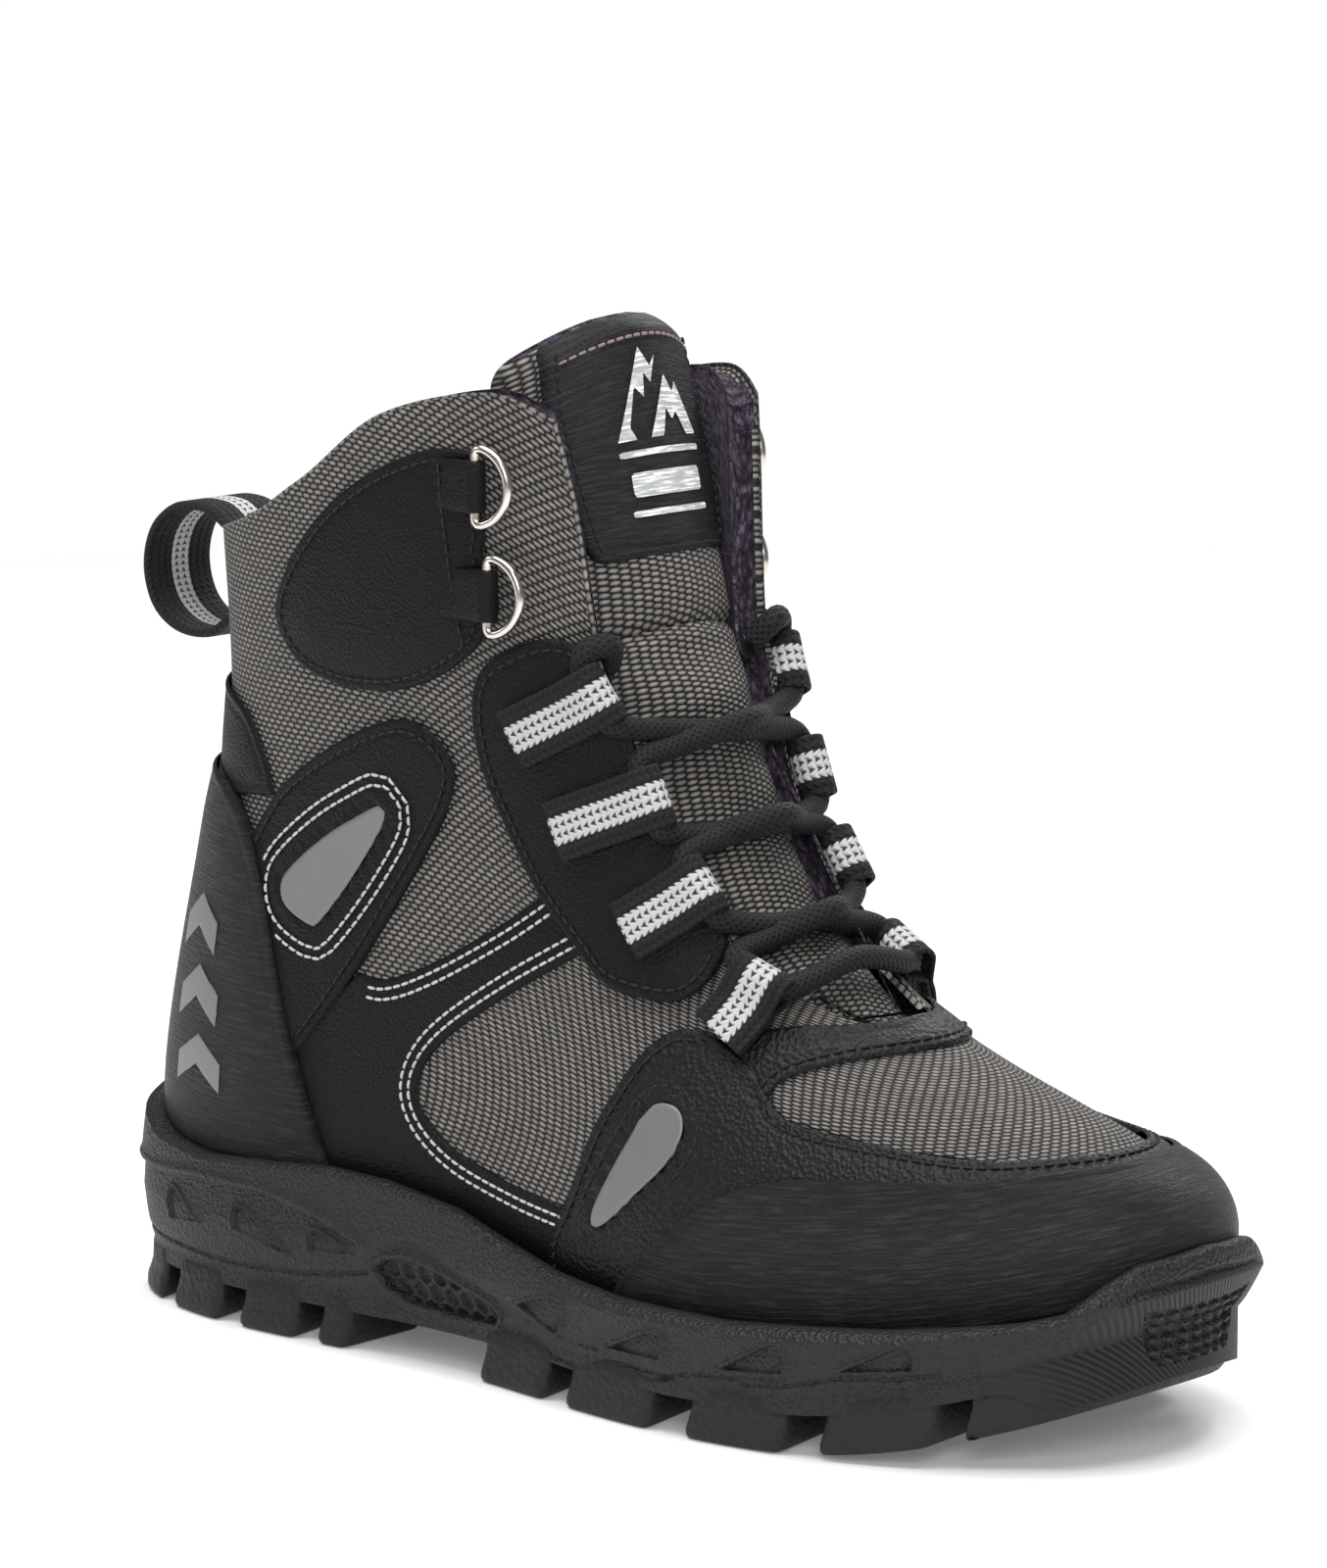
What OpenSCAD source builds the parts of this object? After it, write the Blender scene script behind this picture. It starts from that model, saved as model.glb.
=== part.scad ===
// Mid-height hiking boot for the right foot, with quick-release lace loops,
// hinged D-rings, a folding tongue top and a heel pull loop.
// Axes: +X to the toe, -Y to the outer (lateral) side, +Z up.
// The foot form is a closed B-spline skin; a place on it is [u, v]:
// u runs 0 at the heel, 0..8 along the lateral side, 8 at the front, 8..16 medial;
// v runs 0 at the sole's feather line to 9 above the collar.

/* [Placement] */
// Distance from the rear reference line to the middle of the boot
heel_to_centre = 136.4; // [135:0.1:140]
// Sideways place of the middle of the boot
side_to_centre = 2.4; // [0:0.1:4]

/* [Upper layers] */
// Thickness of the outer fabric and of each overlay
sheet_t = 1.1; // [0.9:0.1:1.3]
// Clearance between one layer and the next
layer_gap = 0.3; // [0.2:0.05:0.4]
// Thickness of the collar foam, heel counter and toe puff
foam_t = 2.4; // [1.6:0.1:2.8]

/* [Sole] */
// Height of the tread lugs
lug_h = 9; // [7:0.5:10]
// Thickness of the outsole plate above the lugs
plate_t = 3.5; // [3:0.5:4]
// Rise of the sole under the toe
toe_spring = 18; // [15:1:20]
// Depth of the removable footbed
footbed_t = 4; // [3:0.5:5]

/* [Laces and hardware] */
// Diameter of the round lace
lace_d = 5.2; // [4.5:0.1:5.4]
// Width of the webbing lace loops
loop_w = 13; // [11:0.5:14]
// Wire diameter of the D-rings
wire_d = 2; // [1.8:0.1:2.2]
// Radius of the D-rings, to the middle of the wire
ring_r = 8; // [7.5:0.25:8.5]
// Width of the heel pull loop
pull_w = 20; // [16:1:22]

/* [Hidden] */
$fn = 32;
skin_top = 0;                               // outer face of the upper overlays
overlay_1 = -layer_gap - sheet_t - 0.2;     // lower overlays, outer face
fabric = overlay_1 - sheet_t - layer_gap;   // base fabric, outer face
filling = fabric - sheet_t - layer_gap;     // foam and stiffeners, outer face
lining = filling - foam_t - layer_gap;      // lining, outer face
bar_fit = 0.07;                             // running clearance around a D-ring bar
pivot_z = 158;                              // fold line of the tongue and pull loop height

// ---------------------------------------------------------------- the foot form

// Nine places from the heel to the front, on ten levels from the sole to the collar
LEVELS = [
    [[10,0,26],[12,-20,26],[40,-34,25],[80,-34,24],[120,-34,20],[165,-41,15],
     [215,-44,17],[262,-30,27],[274,0,32]],
    [[8,0,42],[10,-22,42],[40,-38,41],[80,-38,40],[120,-38,36],[165,-47,31],
     [215,-49,32],[264,-33,42],[277,0,46]],
    [[11,0,62],[13,-22,62],[42,-38,62],[80,-39,62],[120,-38,58],[165,-43,50],
     [212,-45,46],[258,-30,55],[272,0,58]],
    [[16,0,85],[18,-21,85],[45,-37,86],[82,-38,86],[118,-37,82],[155,-37,74],
     [195,-34,66],[235,-20,67],[247,0,69]],
    [[22,0,108],[24,-20,108],[48,-36,110],[82,-38,110],[114,-36,106],[144,-33,98],
     [173,-27,88],[201,-15,80],[214,0,79]],
    [[25,0,130],[27,-20,130],[52,-37,132],[84,-40,133],[112,-38,130],[136,-34,124],
     [158,-27,112],[180,-14,97],[190,0,94]],
    [[25,0,150],[27,-21,150],[53,-39,152],[84,-42,153],[110,-41,152],[132,-36,148],
     [150,-27,138],[163,-13,125],[169,0,121]],
    [[24,0,170],[26,-22,170],[53,-41,172],[84,-44,174],[111,-43,175],[132,-38,174],
     [148,-27,170],[157,-12,163],[160,0,160]],
    [[23,0,190],[25,-22,190],[53,-42,192],[84,-45,195],[111,-44,197],[133,-39,199],
     [148,-27,199],[157,-12,198],[159,0,197]],
    [[22,0,212],[24,-22,212],[53,-42,214],[84,-45,218],[111,-44,221],[133,-39,224],
     [148,-27,226],[156,-12,227],[158,0,227]]];

function clamp(t) = max(0, min(1, t));

// The toe swings to the medial side, and the arch is drawn in
function toe_swing(x, z) = let (t = clamp((x - 150) / 125))
    8 * (3 * t * t - 2 * t * t * t) * clamp((110 - z) / 60);
function arch_in(x, z) = 1 - 0.10 * exp(-pow((x - 120) / 45, 2)) * clamp((90 - z) / 40);

// Sixteen places right round, from the nine on the lateral side
function all_round(side) = [for (k = [0:15])
    let (p = side[k <= 8 ? k : 16 - k], y = k <= 8 ? p.y : -p.y * arch_in(p.x, p.z))
    [p.x, y + toe_swing(p.x, p.z), p.z]];

NET = [for (level = LEVELS) all_round(level)];

function spline_weights(t) =
    [pow(1 - t, 3), 3*t*t*t - 6*t*t + 4, -3*t*t*t + 3*t*t + 3*t + 1, t*t*t] / 6;
function around(row, u) = let (i = floor(u), w = spline_weights(u - i))
    w[0] * row[(i + 31) % 16] + w[1] * row[(i + 32) % 16]
    + w[2] * row[(i + 33) % 16] + w[3] * row[(i + 34) % 16];
function level(r, u) = r < 0 ? 2 * around(NET[0], u) - around(NET[1], u)
    : r > 9 ? 2 * around(NET[9], u) - around(NET[8], u) : around(NET[r], u);
function skin(u, v) = let (i = min(floor(v), 8), w = spline_weights(v - i))
    w[0] * level(i - 1, u) + w[1] * level(i, u) + w[2] * level(i + 1, u)
    + w[3] * level(i + 2, u);
function unit(a) = a / norm(a);
function skin_normal(u, v) = unit(cross(skin(u + 0.02, v) - skin(u - 0.02, v),
    skin(u, v + 0.02) - skin(u, max(v - 0.02, 0))));
// A point at height h off the form
function at(uv, h) = skin(uv.x, uv.y) + h * skin_normal(uv.x, uv.y);

// ---------------------------------------------------------------- curves and shells

// Smooth curve through the points, in n steps
function between(p, i, t) = let (
    last = len(p) - 1, a = p[max(i - 1, 0)], b = p[i], c = p[min(i + 1, last)],
    d = p[min(i + 2, last)])
    0.5 * (2*b + (c - a)*t + (2*a - 5*b + 4*c - d)*t*t + (3*b - a - 3*c + d)*t*t*t);
function curve(p, n) = [for (k = [0:n])
    let (s = k * (len(p) - 1) / n, i = min(floor(s), len(p) - 2)) between(p, i, s - i)];
function reversed(p) = [for (i = [len(p) - 1:-1:0]) p[i]];
function to_medial(p) = [for (q = p) [16 - q.x, q.y]];
// An edge given from the lateral end to the front centre, continued to the medial end
function over_front(p) =
    concat(p, [for (i = [len(p) - 2:-1:0]) [16 - p[i].x, p[i].y]]);
// An edge given from the heel centre to the lateral end, begun at the medial end
function round_heel(p) = concat([for (i = [len(p) - 1:-1:1]) [-p[i].x, p[i].y]], p);
function turns_left(p) =
    [for (i = [0:len(p) - 1]) cross(p[i], p[(i + 1) % len(p)])] * [for (q = p) 1] > 0;

// Closed solid between two matching grids of points
module solid_between(outer, inner, flip = false) {
    n = len(outer);
    m = len(outer[0]);
    function id(layer, i, j) = (layer * n + i) * m + j;
    function ordered(f) = flip ? reversed(f) : f;
    rim = concat([for (i = [0:n - 1]) [i, 0]], [for (j = [1:m - 1]) [n - 1, j]],
        [for (i = [n - 2:-1:0]) [i, m - 1]], [for (j = [m - 2:-1:1]) [0, j]]);
    faces = concat(
        [for (i = [0:n - 2], j = [0:m - 2], half = [0, 1]) half == 0
            ? [id(0,i,j), id(0,i,j+1), id(0,i+1,j+1)]
            : [id(0,i,j), id(0,i+1,j+1), id(0,i+1,j)]],
        [for (i = [0:n - 2], j = [0:m - 2], half = [0, 1]) half == 0
            ? [id(1,i,j), id(1,i+1,j), id(1,i+1,j+1)]
            : [id(1,i,j), id(1,i+1,j+1), id(1,i,j+1)]],
        [for (k = [0:len(rim) - 1], half = [0, 1])
            let (a = rim[k], b = rim[(k + 1) % len(rim)]) half == 0
            ? [id(0,a.x,a.y), id(0,b.x,b.y), id(1,b.x,b.y)]
            : [id(0,a.x,a.y), id(1,b.x,b.y), id(1,a.x,a.y)]]);
    polyhedron(points = concat([for (row = outer) each row], [for (row = inner) each row]),
        faces = [for (f = faces) ordered(f)], convexity = 8);
}

// Panel on the form between two edges, each a smooth curve of [u, v] places
module panel(edge_a, edge_b, along, across, top, thick) {
    a = curve(edge_a, along);
    b = curve(edge_b, along);
    grid = [for (i = [0:along]) [for (j = [0:across])
        a[i] + (b[i] - a[i]) * j / across]];
    solid_between([for (row = grid) [for (q = row) at(q, top)]],
        [for (row = grid) [for (q = row) at(q, top - thick)]],
        flip = !turns_left(concat(a, reversed(b))));
}

// Directions square to a path, carried along it without twisting
function carried(dirs, n, i = 0, done = []) = i == len(dirs) ? done
    : let (m = unit(n - dirs[i] * (n * dirs[i]))) carried(dirs, m, i + 1, concat(done, [m]));
function directions(p) = [for (i = [0:len(p) - 1])
    unit(p[min(i + 1, len(p) - 1)] - p[max(i - 1, 0)])];

// Round cord along a path
module cord(path, d, sides = 8) {
    dirs = directions(path);
    first = carried(dirs, [0.31, 0.22, 0.93]);
    n = len(path);
    points = [for (i = [0:n - 1], k = [0:sides - 1])
        path[i] + d / 2 * (cos(360 * k / sides) * first[i]
        + sin(360 * k / sides) * cross(dirs[i], first[i]))];
    faces = concat([[for (k = [0:sides - 1]) k]],
        [[for (k = [sides - 1:-1:0]) (n - 1) * sides + k]],
        [for (i = [0:n - 2], k = [0:sides - 1], half = [0, 1])
            let (a = i * sides + k, b = i * sides + (k + 1) % sides) half == 0
            ? [a, a + sides, b + sides] : [a, b + sides, b]]);
    polyhedron(points, faces, convexity = 10);
}

// Flat webbing along a path, its width along one fixed direction
module webbing(path, side, width, thick) {
    dirs = directions(path);
    out = [for (t = dirs) unit(cross(t, side))];
    solid_between(
        [for (i = [0:len(path) - 1]) [for (s = [-1, 1])
            path[i] + s * width / 2 * side + thick / 2 * out[i]]],
        [for (i = [0:len(path) - 1]) [for (s = [-1, 1])
            path[i] + s * width / 2 * side - thick / 2 * out[i]]]);
}

module on_boot() {
    translate([-heel_to_centre, -side_to_centre, 0]) children();
}
// ---------------------------------------------------------------- sole

// Outlines of the tread, of the widest line and of the rim, from heel to toe
TREAD = [[3,0],[5,-24],[40,-39],[80,-38],[122,-38],[168,-50],[216,-52],[262,-36],[277,0]];
WIDEST = [[-3,0],[0,-27],[38,-43],[80,-43],[122,-43],[168,-53],[216,-55],[267,-40],[281,0]];
RIM = [[2,0],[4,-26],[40,-42],[80,-42],[120,-42],[165,-51],[215,-53],[266,-38],[280,0]];
RIM_Z = [46, 46, 44, 41, 37, 27, 27, 36, 48];
ground_h = lug_h + plate_t;

function spring(x) = toe_spring * pow(clamp((x - 200) / 76), 2);
function outline(side, n, inset = 0) = let (row = all_round([for (p = side) [p.x, p.y, 0]]))
    [for (k = [0:n - 1]) around(row, 16 * k / n)];
function flat(points) = [for (p = points) [p.x, p.y]];
FLOOR = [[-10,26],[12,26],[40,25],[80,24],[120,20.5],[165,16],[215,18],[255,26],[285,34]];
function floor_z(x) = lookup(x, FLOOR);

// Upright slab that follows the tread's side view, from one height to another
module side_band(low, high) {
    xs = [for (x = [-20:8:300]) x];
    rotate([90, 0, 0])
        linear_extrude(height = 160, center = true)
            polygon(concat([for (x = xs) [x, low + spring(x)]],
                [for (x = reversed(xs)) [x, high + spring(x)]]));
}

// Plan of the grooves: across between the lugs, the arch gap, and along the middle
module groove_plan() {
    translate([84, -70]) square([40, 140]);
    for (g = [[20, 5], [42.5, 6.5], [66, 6], [141, 6.5], [173.5, 9], [206.5, 8], [237, 5]])
        for (s = [-1, 1])
            translate([g.x, 0]) rotate(s * 80) translate([8, -g.y / 2]) square([70, g.y]);
    for (s = [-1, 1]) {
        translate([18, s * 12 - 1.5]) square([66, 3]);
        translate([124, s * 15 - 1.5 + 3]) square([124, 3]);
    }
}

module outsole() {
    color("#232426") on_boot() difference() {
        intersection() {
            linear_extrude(height = 60) polygon(flat(outline(TREAD, 56)));
            side_band(0, ground_h);
        }
        intersection() {
            side_band(-5, lug_h);
            translate([0, 0, -5]) linear_extrude(height = 60) groove_plan();
        }
        translate([-6, -60, -6]) rotate([0, -32, 0]) cube([16, 120, 12]);
    }
}

module midsole() {
    n = 48;
    function ring(k) = outline(k == 0 ? TREAD : k == 1 ? WIDEST : RIM, n);
    rim_z = outline([for (i = [0:8]) [RIM_Z[i], 0]], n);
    low = [for (p = ring(0)) [p.x, p.y, ground_h + 0.3 + spring(p.x)]];
    mid = [for (p = ring(1)) [p.x, p.y, 24 + 0.7 * spring(p.x)]];
    top = [for (i = [0:n - 1]) [ring(2)[i].x, ring(2)[i].y, rim_z[i].x]];
    lip = [for (i = [0:n - 1]) let (u = 16 * i / n) [each flat([at([u, 0.9], 0.5)])[0],
        rim_z[i].x - 0.6]];
    well = [for (i = [0:n - 1]) let (p = at([16 * i / n, 0.1], 0.5)) [p.x, p.y,
        floor_z(p.x)]];
    rings = [low, mid, top, lip, well];
    middle = [for (x = [30:25:255]) x];
    function id(r, k) = r * n + k % n;
    walls = [for (r = [0:3], k = [0:n - 1], half = [0, 1]) half == 0
        ? [id(r, k), id(r + 1, k + 1), id(r, k + 1)]
        : [id(r, k), id(r + 1, k), id(r + 1, k + 1)]];
    // Each level end is closed by bars from the lateral to the medial side
    function bars(r, up) = [for (k = [0:n / 2 - 1], half = [0, 1])
        let (a = id(r, k), b = id(r, k + 1), c = id(r, n - k - 1), d = id(r, n - k),
            f = half == 0 ? [a, b, c] : [a, c, d])
        if (f[0] != f[1] && f[1] != f[2] && f[0] != f[2]) up ? reversed(f) : f];
    color("#2a2b2d") on_boot() difference() {
        polyhedron([for (r = rings) each r], concat(walls, bars(0, false), bars(4, true)),
            convexity = 6);
        shank_shape(0.2);
        for (s = [-1, 1]) arch_window_shape(s, 0.25, 20);
    }
}

// Leaning four-sided plate in the side of the arch, from its inner face outwards
module arch_window_shape(s, grow, depth) {
    face = s < 0 ? -39.4 + grow : 35.6 - grow + depth;
    translate([0, face, 0]) rotate([90, 0, 0])
        linear_extrude(height = depth)
            polygon([[88 - grow, 15.5 - grow], [118 + grow, 15 - grow],
                [113 + grow, 24 + grow], [92 - grow, 25 + grow]]);
}
module arch_window_lateral() color("#1c1d1f") on_boot() arch_window_shape(-1, 0, 2);
module arch_window_medial() color("#1c1d1f") on_boot() arch_window_shape(1, 0, 2);

// ---------------------------------------------------------------- inside the boot

// Band of the given plan that follows the inside floor, from one height to another
module floor_slab(points, low, high) {
    xs = [for (x = [0:10:290]) x];
    intersection() {
        linear_extrude(height = 80) polygon(points);
        rotate([90, 0, 0]) linear_extrude(height = 160, center = true)
            polygon(concat([for (x = xs) [x, low + floor_z(x)]],
                [for (x = reversed(xs)) [x, high + floor_z(x)]]));
    }
}
function inside_plan(v, inset) = flat([for (k = [0:47]) at([k / 3, v], lining - inset)]);

// Steel strip let into the top of the midsole under the arch
module shank_shape(play) {
    xs = [55 - play, 80, 120, 150 + play];
    rotate([90, 0, 0]) linear_extrude(height = 16 + 2 * play, center = true)
        polygon(concat([for (x = xs) [x, floor_z(x) - 1.6 - play]],
            [for (x = reversed(xs)) [x, floor_z(x) - 0.4 + 4 * play]]));
}
module shank() color("#8d9094") on_boot() shank_shape(0);
module insole_board()
    color("#b3a68c") on_boot() floor_slab(inside_plan(0.35, 1.6), 0.3, 2.3);
module footbed()
    color("#3c3a42") on_boot() floor_slab(inside_plan(0.5, 2.2), 2.6, 2.6 + footbed_t);

// ---------------------------------------------------------------- upper, base layers

// The feather line, where the upper turns under, and the edge of the collar and throat
FEATHER = 0.3;
COLLAR = [[0,6.85],[1.8,7.13],[2.65,7.57],[3.5,8.2],[4.6,8.36],[5.4,8.12],[5.65,7.4],
    [5.84,6.4],[6.3,5.5],[6.6,4.4]];
INNER_COLLAR = [[0,6.8],[1.8,7.08],[2.65,7.5],[3.5,8.12],[4.5,8.28],[5.15,8.05],
    [5.4,7.4],[5.5,6.4],[5.9,5.5],[6.3,4.4]];
THROAT = [[6.6,4.4],[7.3,4.15],[8,4.08]];

// Panel on the lateral side, or mirrored to the medial side
module side_panel(medial, a, b, along, across, top, thick) {
    if (medial) panel(to_medial(a), to_medial(b), along, across, top, thick);
    else panel(a, b, along, across, top, thick);
}

module quarter(medial) side_panel(medial,
    [[0,FEATHER],[1.25,FEATHER],[2.5,FEATHER],[3.75,FEATHER],[5,FEATHER]], COLLAR,
    30, 8, fabric, sheet_t);
module quarter_lateral() color("#77736c") on_boot() quarter(false);
module quarter_medial() color("#77736c") on_boot() quarter(true);
module vamp() color("#77736c") on_boot()
    panel(over_front([[5,FEATHER],[6.5,FEATHER],[8,FEATHER]]), over_front(THROAT),
        20, 7, fabric, sheet_t);
module quarter_lining() color("#5d5266") on_boot()
    panel(round_heel([[0,FEATHER],[1.5,FEATHER],[3.3,FEATHER],[5,FEATHER]]),
        round_heel(INNER_COLLAR), 44, 7, lining, sheet_t);
module vamp_lining() color("#5d5266") on_boot()
    panel(over_front([[5.1,0.5],[6.5,0.5],[8,0.5]]), over_front(THROAT),
        16, 6, lining, sheet_t);
module collar_foam() color("#d8d2c4") on_boot()
    panel(round_heel([[0,5.2],[1.3,5.3],[2.6,5.6],[3.9,6],[5,6.3],[5.4,6.45]]),
        round_heel([[0,6.7],[1.8,7],[2.65,7.4],[3.5,8.05],[4.5,8.2],[5.1,7.95]]),
        48, 5, filling, foam_t);
module heel_counter() color("#a39a86") on_boot()
    panel(round_heel([[0,0.4],[1.3,0.4],[2.7,0.4]]), round_heel([[0,4.4],[1.6,4.2],[2.4,3]]),
        16, 4, filling, foam_t);
module toe_puff() color("#a39a86") on_boot()
    panel(over_front([[5.7,0.6],[6.8,0.6],[8,0.6]]), over_front([[6.2,1.9],[7,2.1],[8,2.1]]),
        16, 4, filling, foam_t / 2);

// ---------------------------------------------------------------- upper, overlays

CAP_TOP = [[4.95,0.75],[5.36,1.73],[5.7,2.16],[6.16,2.33],[6.8,2.27],[8,2.24]];
module toe_cap() color("#1b1b1c") on_boot()
    panel(over_front([[4.92,0.45],[5.5,0.45],[6.1,0.45],[6.7,0.45],[7.3,0.45],[8,0.45]]),
        over_front(CAP_TOP), 36, 5, overlay_1, sheet_t);
module mudguard() color("#202022") on_boot()
    panel(over_front([[4.42,0.5],[4.93,0.85],[5.33,1.78],[5.66,2.21],[6.1,2.38],[6.8,2.32],
            [8,2.29]]),
        over_front([[4.6,1.45],[4.79,2.25],[5.13,2.96],[5.55,3.42],[6.03,2.92],[6.8,2.58],
            [8,2.46]]),
        42, 3, overlay_1, sheet_t);

// Two-legged overlay that frames the fabric windows of the side
module side_overlay(medial) {
    side_panel(medial,
        [[2.9,0.45],[2.8,1.3],[2.74,2],[3,2.6],[3.31,2.86],[3.65,3.11],[4.23,3.66],
            [4.8,4.25],[5.1,4.5]],
        [[3.7,0.45],[3.55,1.1],[3.57,1.7],[3.6,2.1],[3.78,2.53],[4.05,2.87],[4.5,3.35],
            [5,3.83],[5.4,4.2]],
        18, 3, overlay_1, sheet_t);
    side_panel(medial, [[3.5,0.45],[4,0.45],[4.4,0.48]], [[3.62,1.7],[4,1.4],[4.5,1.36]],
        6, 2, overlay_1, sheet_t);
}
module side_overlay_lateral() color("#1d1d1f") on_boot() side_overlay(false);
module side_overlay_medial() color("#1d1d1f") on_boot() side_overlay(true);

module rear_panel(medial) side_panel(medial,
    [[2.66,2.05],[2.64,2.35],[2.48,3],[2.34,3.7],[2.36,4.3],[2.86,4.82],[3.3,5.13],[3.7,5.26]],
    [[2.74,2.13],[2.93,2.53],[3.12,2.98],[3.37,3.5],[3.69,4.12],[3.96,4.65],[4.03,4.95],
        [3.9,5.17]],
    16, 3, overlay_1, sheet_t);
module rear_panel_lateral() color("#1d1d1f") on_boot() rear_panel(false);
module rear_panel_medial() color("#1d1d1f") on_boot() rear_panel(true);

module rear_reflector(medial) side_panel(medial,
    [[2.55,3.3],[2.5,3.5],[2.65,3.8],[2.9,4.07],[3.3,4.4]],
    [[2.72,3.2],[2.85,3.28],[3,3.55],[3.2,3.92],[3.4,4.36]],
    10, 2, skin_top, sheet_t - 0.4);
module rear_reflector_lateral() color("#aeb3b6") on_boot() rear_reflector(false);
module rear_reflector_medial() color("#aeb3b6") on_boot() rear_reflector(true);
module front_reflector(medial) side_panel(medial,
    [[4.8,1.36],[4.8,1.6],[4.87,2.03],[5.06,2.49],[5.24,2.69]],
    [[4.86,1.36],[4.95,1.5],[5.08,1.83],[5.27,2.24],[5.38,2.6]],
    10, 2, skin_top, sheet_t - 0.4);
module front_reflector_lateral() color("#aeb3b6") on_boot() front_reflector(false);
module front_reflector_medial() color("#aeb3b6") on_boot() front_reflector(true);

module heel_cap() color("#1b1b1c") on_boot()
    panel(round_heel([[0,0.45],[0.9,0.45],[1.6,0.45],[2.1,0.45],[2.4,0.45],[2.65,0.45],
            [2.82,0.45]]),
        round_heel([[0,4.6],[0.9,4.57],[1.7,4.27],[2.15,3.7],[2.4,2.95],[2.58,2.2],[2.82,1.1]]),
        32, 5, overlay_1, sheet_t);
module backstay() color("#202022") on_boot()
    panel(round_heel([[0,4.68],[0.9,4.65],[1.7,4.37],[2.1,4.05]]),
        round_heel([[0,5.45],[0.9,5.4],[1.78,5.12],[2.2,4.6]]),
        20, 3, overlay_1, sheet_t);
module heel_webbing() color("#161617") on_boot()
    panel([[-0.5,5.52],[0,5.55],[0.5,5.52]], [[-0.5,6.84],[0,6.84],[0.5,6.84]],
        6, 5, overlay_1, sheet_t);

module eyestay(medial) side_panel(medial,
    [[5.56,6.47],[5.14,6.39],[4.65,6.11],[4.4,5.7],[4.36,5.1],[4.51,4.58],[4.68,4.14],
        [4.95,3.75],[5.3,3.6]],
    [[5.83,6.33],[5.95,6.2],[6.06,6.05],[6.17,5.75],[6.28,5.5],[6.38,5.25],[6.45,5],
        [6.4,4.6],[6,4.05]],
    20, 4, skin_top, sheet_t);
module eyestay_lateral() color("#1d1d1f") on_boot() eyestay(false);
module eyestay_medial() color("#1d1d1f") on_boot() eyestay(true);
module throat_yoke() color("#202022") on_boot()
    panel(over_front([[5.95,3.1],[6.3,3.4],[6.75,3.63],[7.36,3.83],[8,3.9]]),
        over_front([[5.9,3.5],[6.2,3.66],[6.6,3.84],[7.37,4.1],[8,4.18]]),
        24, 2, overlay_1, sheet_t);
module ankle_patch(medial) side_panel(medial,
    [[2.42,5.95],[2.7,5.62],[3.2,5.5],[3.7,5.6],[4.2,5.95],[4.62,6.42]],
    [[2.4,6.35],[2.65,6.95],[3.05,7.4],[3.6,7.75],[4.1,7.9],[4.58,7.8]],
    14, 4, overlay_1, sheet_t);
module ankle_patch_lateral() color("#1d1d1f") on_boot() ankle_patch(false);
module ankle_patch_medial() color("#1d1d1f") on_boot() ankle_patch(true);

// ---------------------------------------------------------------- D-rings

// Middle of each ring's straight bar, on the lateral side: the bars stand upright
RING_UPPER = [123.5, -41.4, 188];
RING_LOWER = [125.5, -40, 165.5];
bar_l = 2 * ring_r;
tab_l = bar_l - 2 * wire_d - 2;
tab_d = wire_d + 1.6;
ring_lean = 8;

// A bar's own frame: its axis is Z, the ring lies towards +X, and -Y is off the skin
module at_bar(p, medial) {
    on_boot() mirror([0, medial ? 1 : 0, 0]) translate(p) rotate([0, 0, ring_lean])
        children();
}
module d_ring(p, medial) {
    color("#cfc3a4") at_bar(p, medial) {
        cylinder(d = wire_d, h = bar_l, center = true);
        rotate([90, 0, 0]) rotate([0, 0, -90]) rotate_extrude(angle = 180)
            translate([ring_r, 0]) circle(d = wire_d);
        for (s = [-1, 1]) translate([0, 0, s * ring_r]) sphere(d = wire_d);
    }
}
module d_ring_lateral_upper() d_ring(RING_UPPER, false);
module d_ring_lateral_lower() d_ring(RING_LOWER, false);
module d_ring_medial_upper() d_ring(RING_UPPER, true);
module d_ring_medial_lower() d_ring(RING_LOWER, true);

// Folded tab that wraps a bar and runs back on to the ankle patch
module ring_tab(p, medial) {
    at_bar(p, medial) difference() {
        union() {
            cylinder(d = tab_d, h = tab_l, center = true);
            translate([-12, 0.6, -tab_l / 2]) cube([12, 1.2, tab_l]);
        }
        cylinder(d = wire_d + 2 * bar_fit, h = tab_l + 2, center = true);
    }
}
module ring_tabs(medial) {
    color("#1d1d1f") for (p = [RING_UPPER, RING_LOWER]) ring_tab(p, medial);
}
module ring_tabs_lateral() ring_tabs(false);
module ring_tabs_medial() ring_tabs(true);

// ---------------------------------------------------------------- lace loops

// Outer and inner end of each loop, as places on the form, from the top down
LOOPS = [[[4.81,5.48],[5.6,6.05]], [[5.05,4.8],[5.97,5.45]], [[5.45,4.17],[6.16,4.8]],
    [[5.86,3.5],[6.3,4.02]]];

module lace_loop(i, medial) {
    ends = medial ? to_medial(LOOPS[i]) : LOOPS[i];
    n = 6;
    base = [for (k = [0:n]) ends[0] + (ends[1] - ends[0]) * k / n];
    tip = at(ends[1], 0);
    out = skin_normal(ends[1].x, ends[1].y);
    along = let (d = tip - at(base[n - 1], 0)) unit(d - out * (d * out));
    eye = tip + along * 3.2 + out * 1.9;
    top = [for (k = [0:n - 1]) at(base[k], 2.8 + (k == n - 1 ? 0.6 : 0))];
    turn = [for (a = [110:-22:-110])
        eye + (lace_d / 2 + 0.9) * (cos(a) * along + sin(a) * out)];
    under = [for (k = [n - 1:-1:0]) at(base[k], 1.5)];
    color("#161617") on_boot()
        webbing(concat(top, turn, under), cross(out, along), loop_w, 0.8);
}
module lace_loop_lateral_1() lace_loop(0, false);
module lace_loop_lateral_2() lace_loop(1, false);
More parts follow.
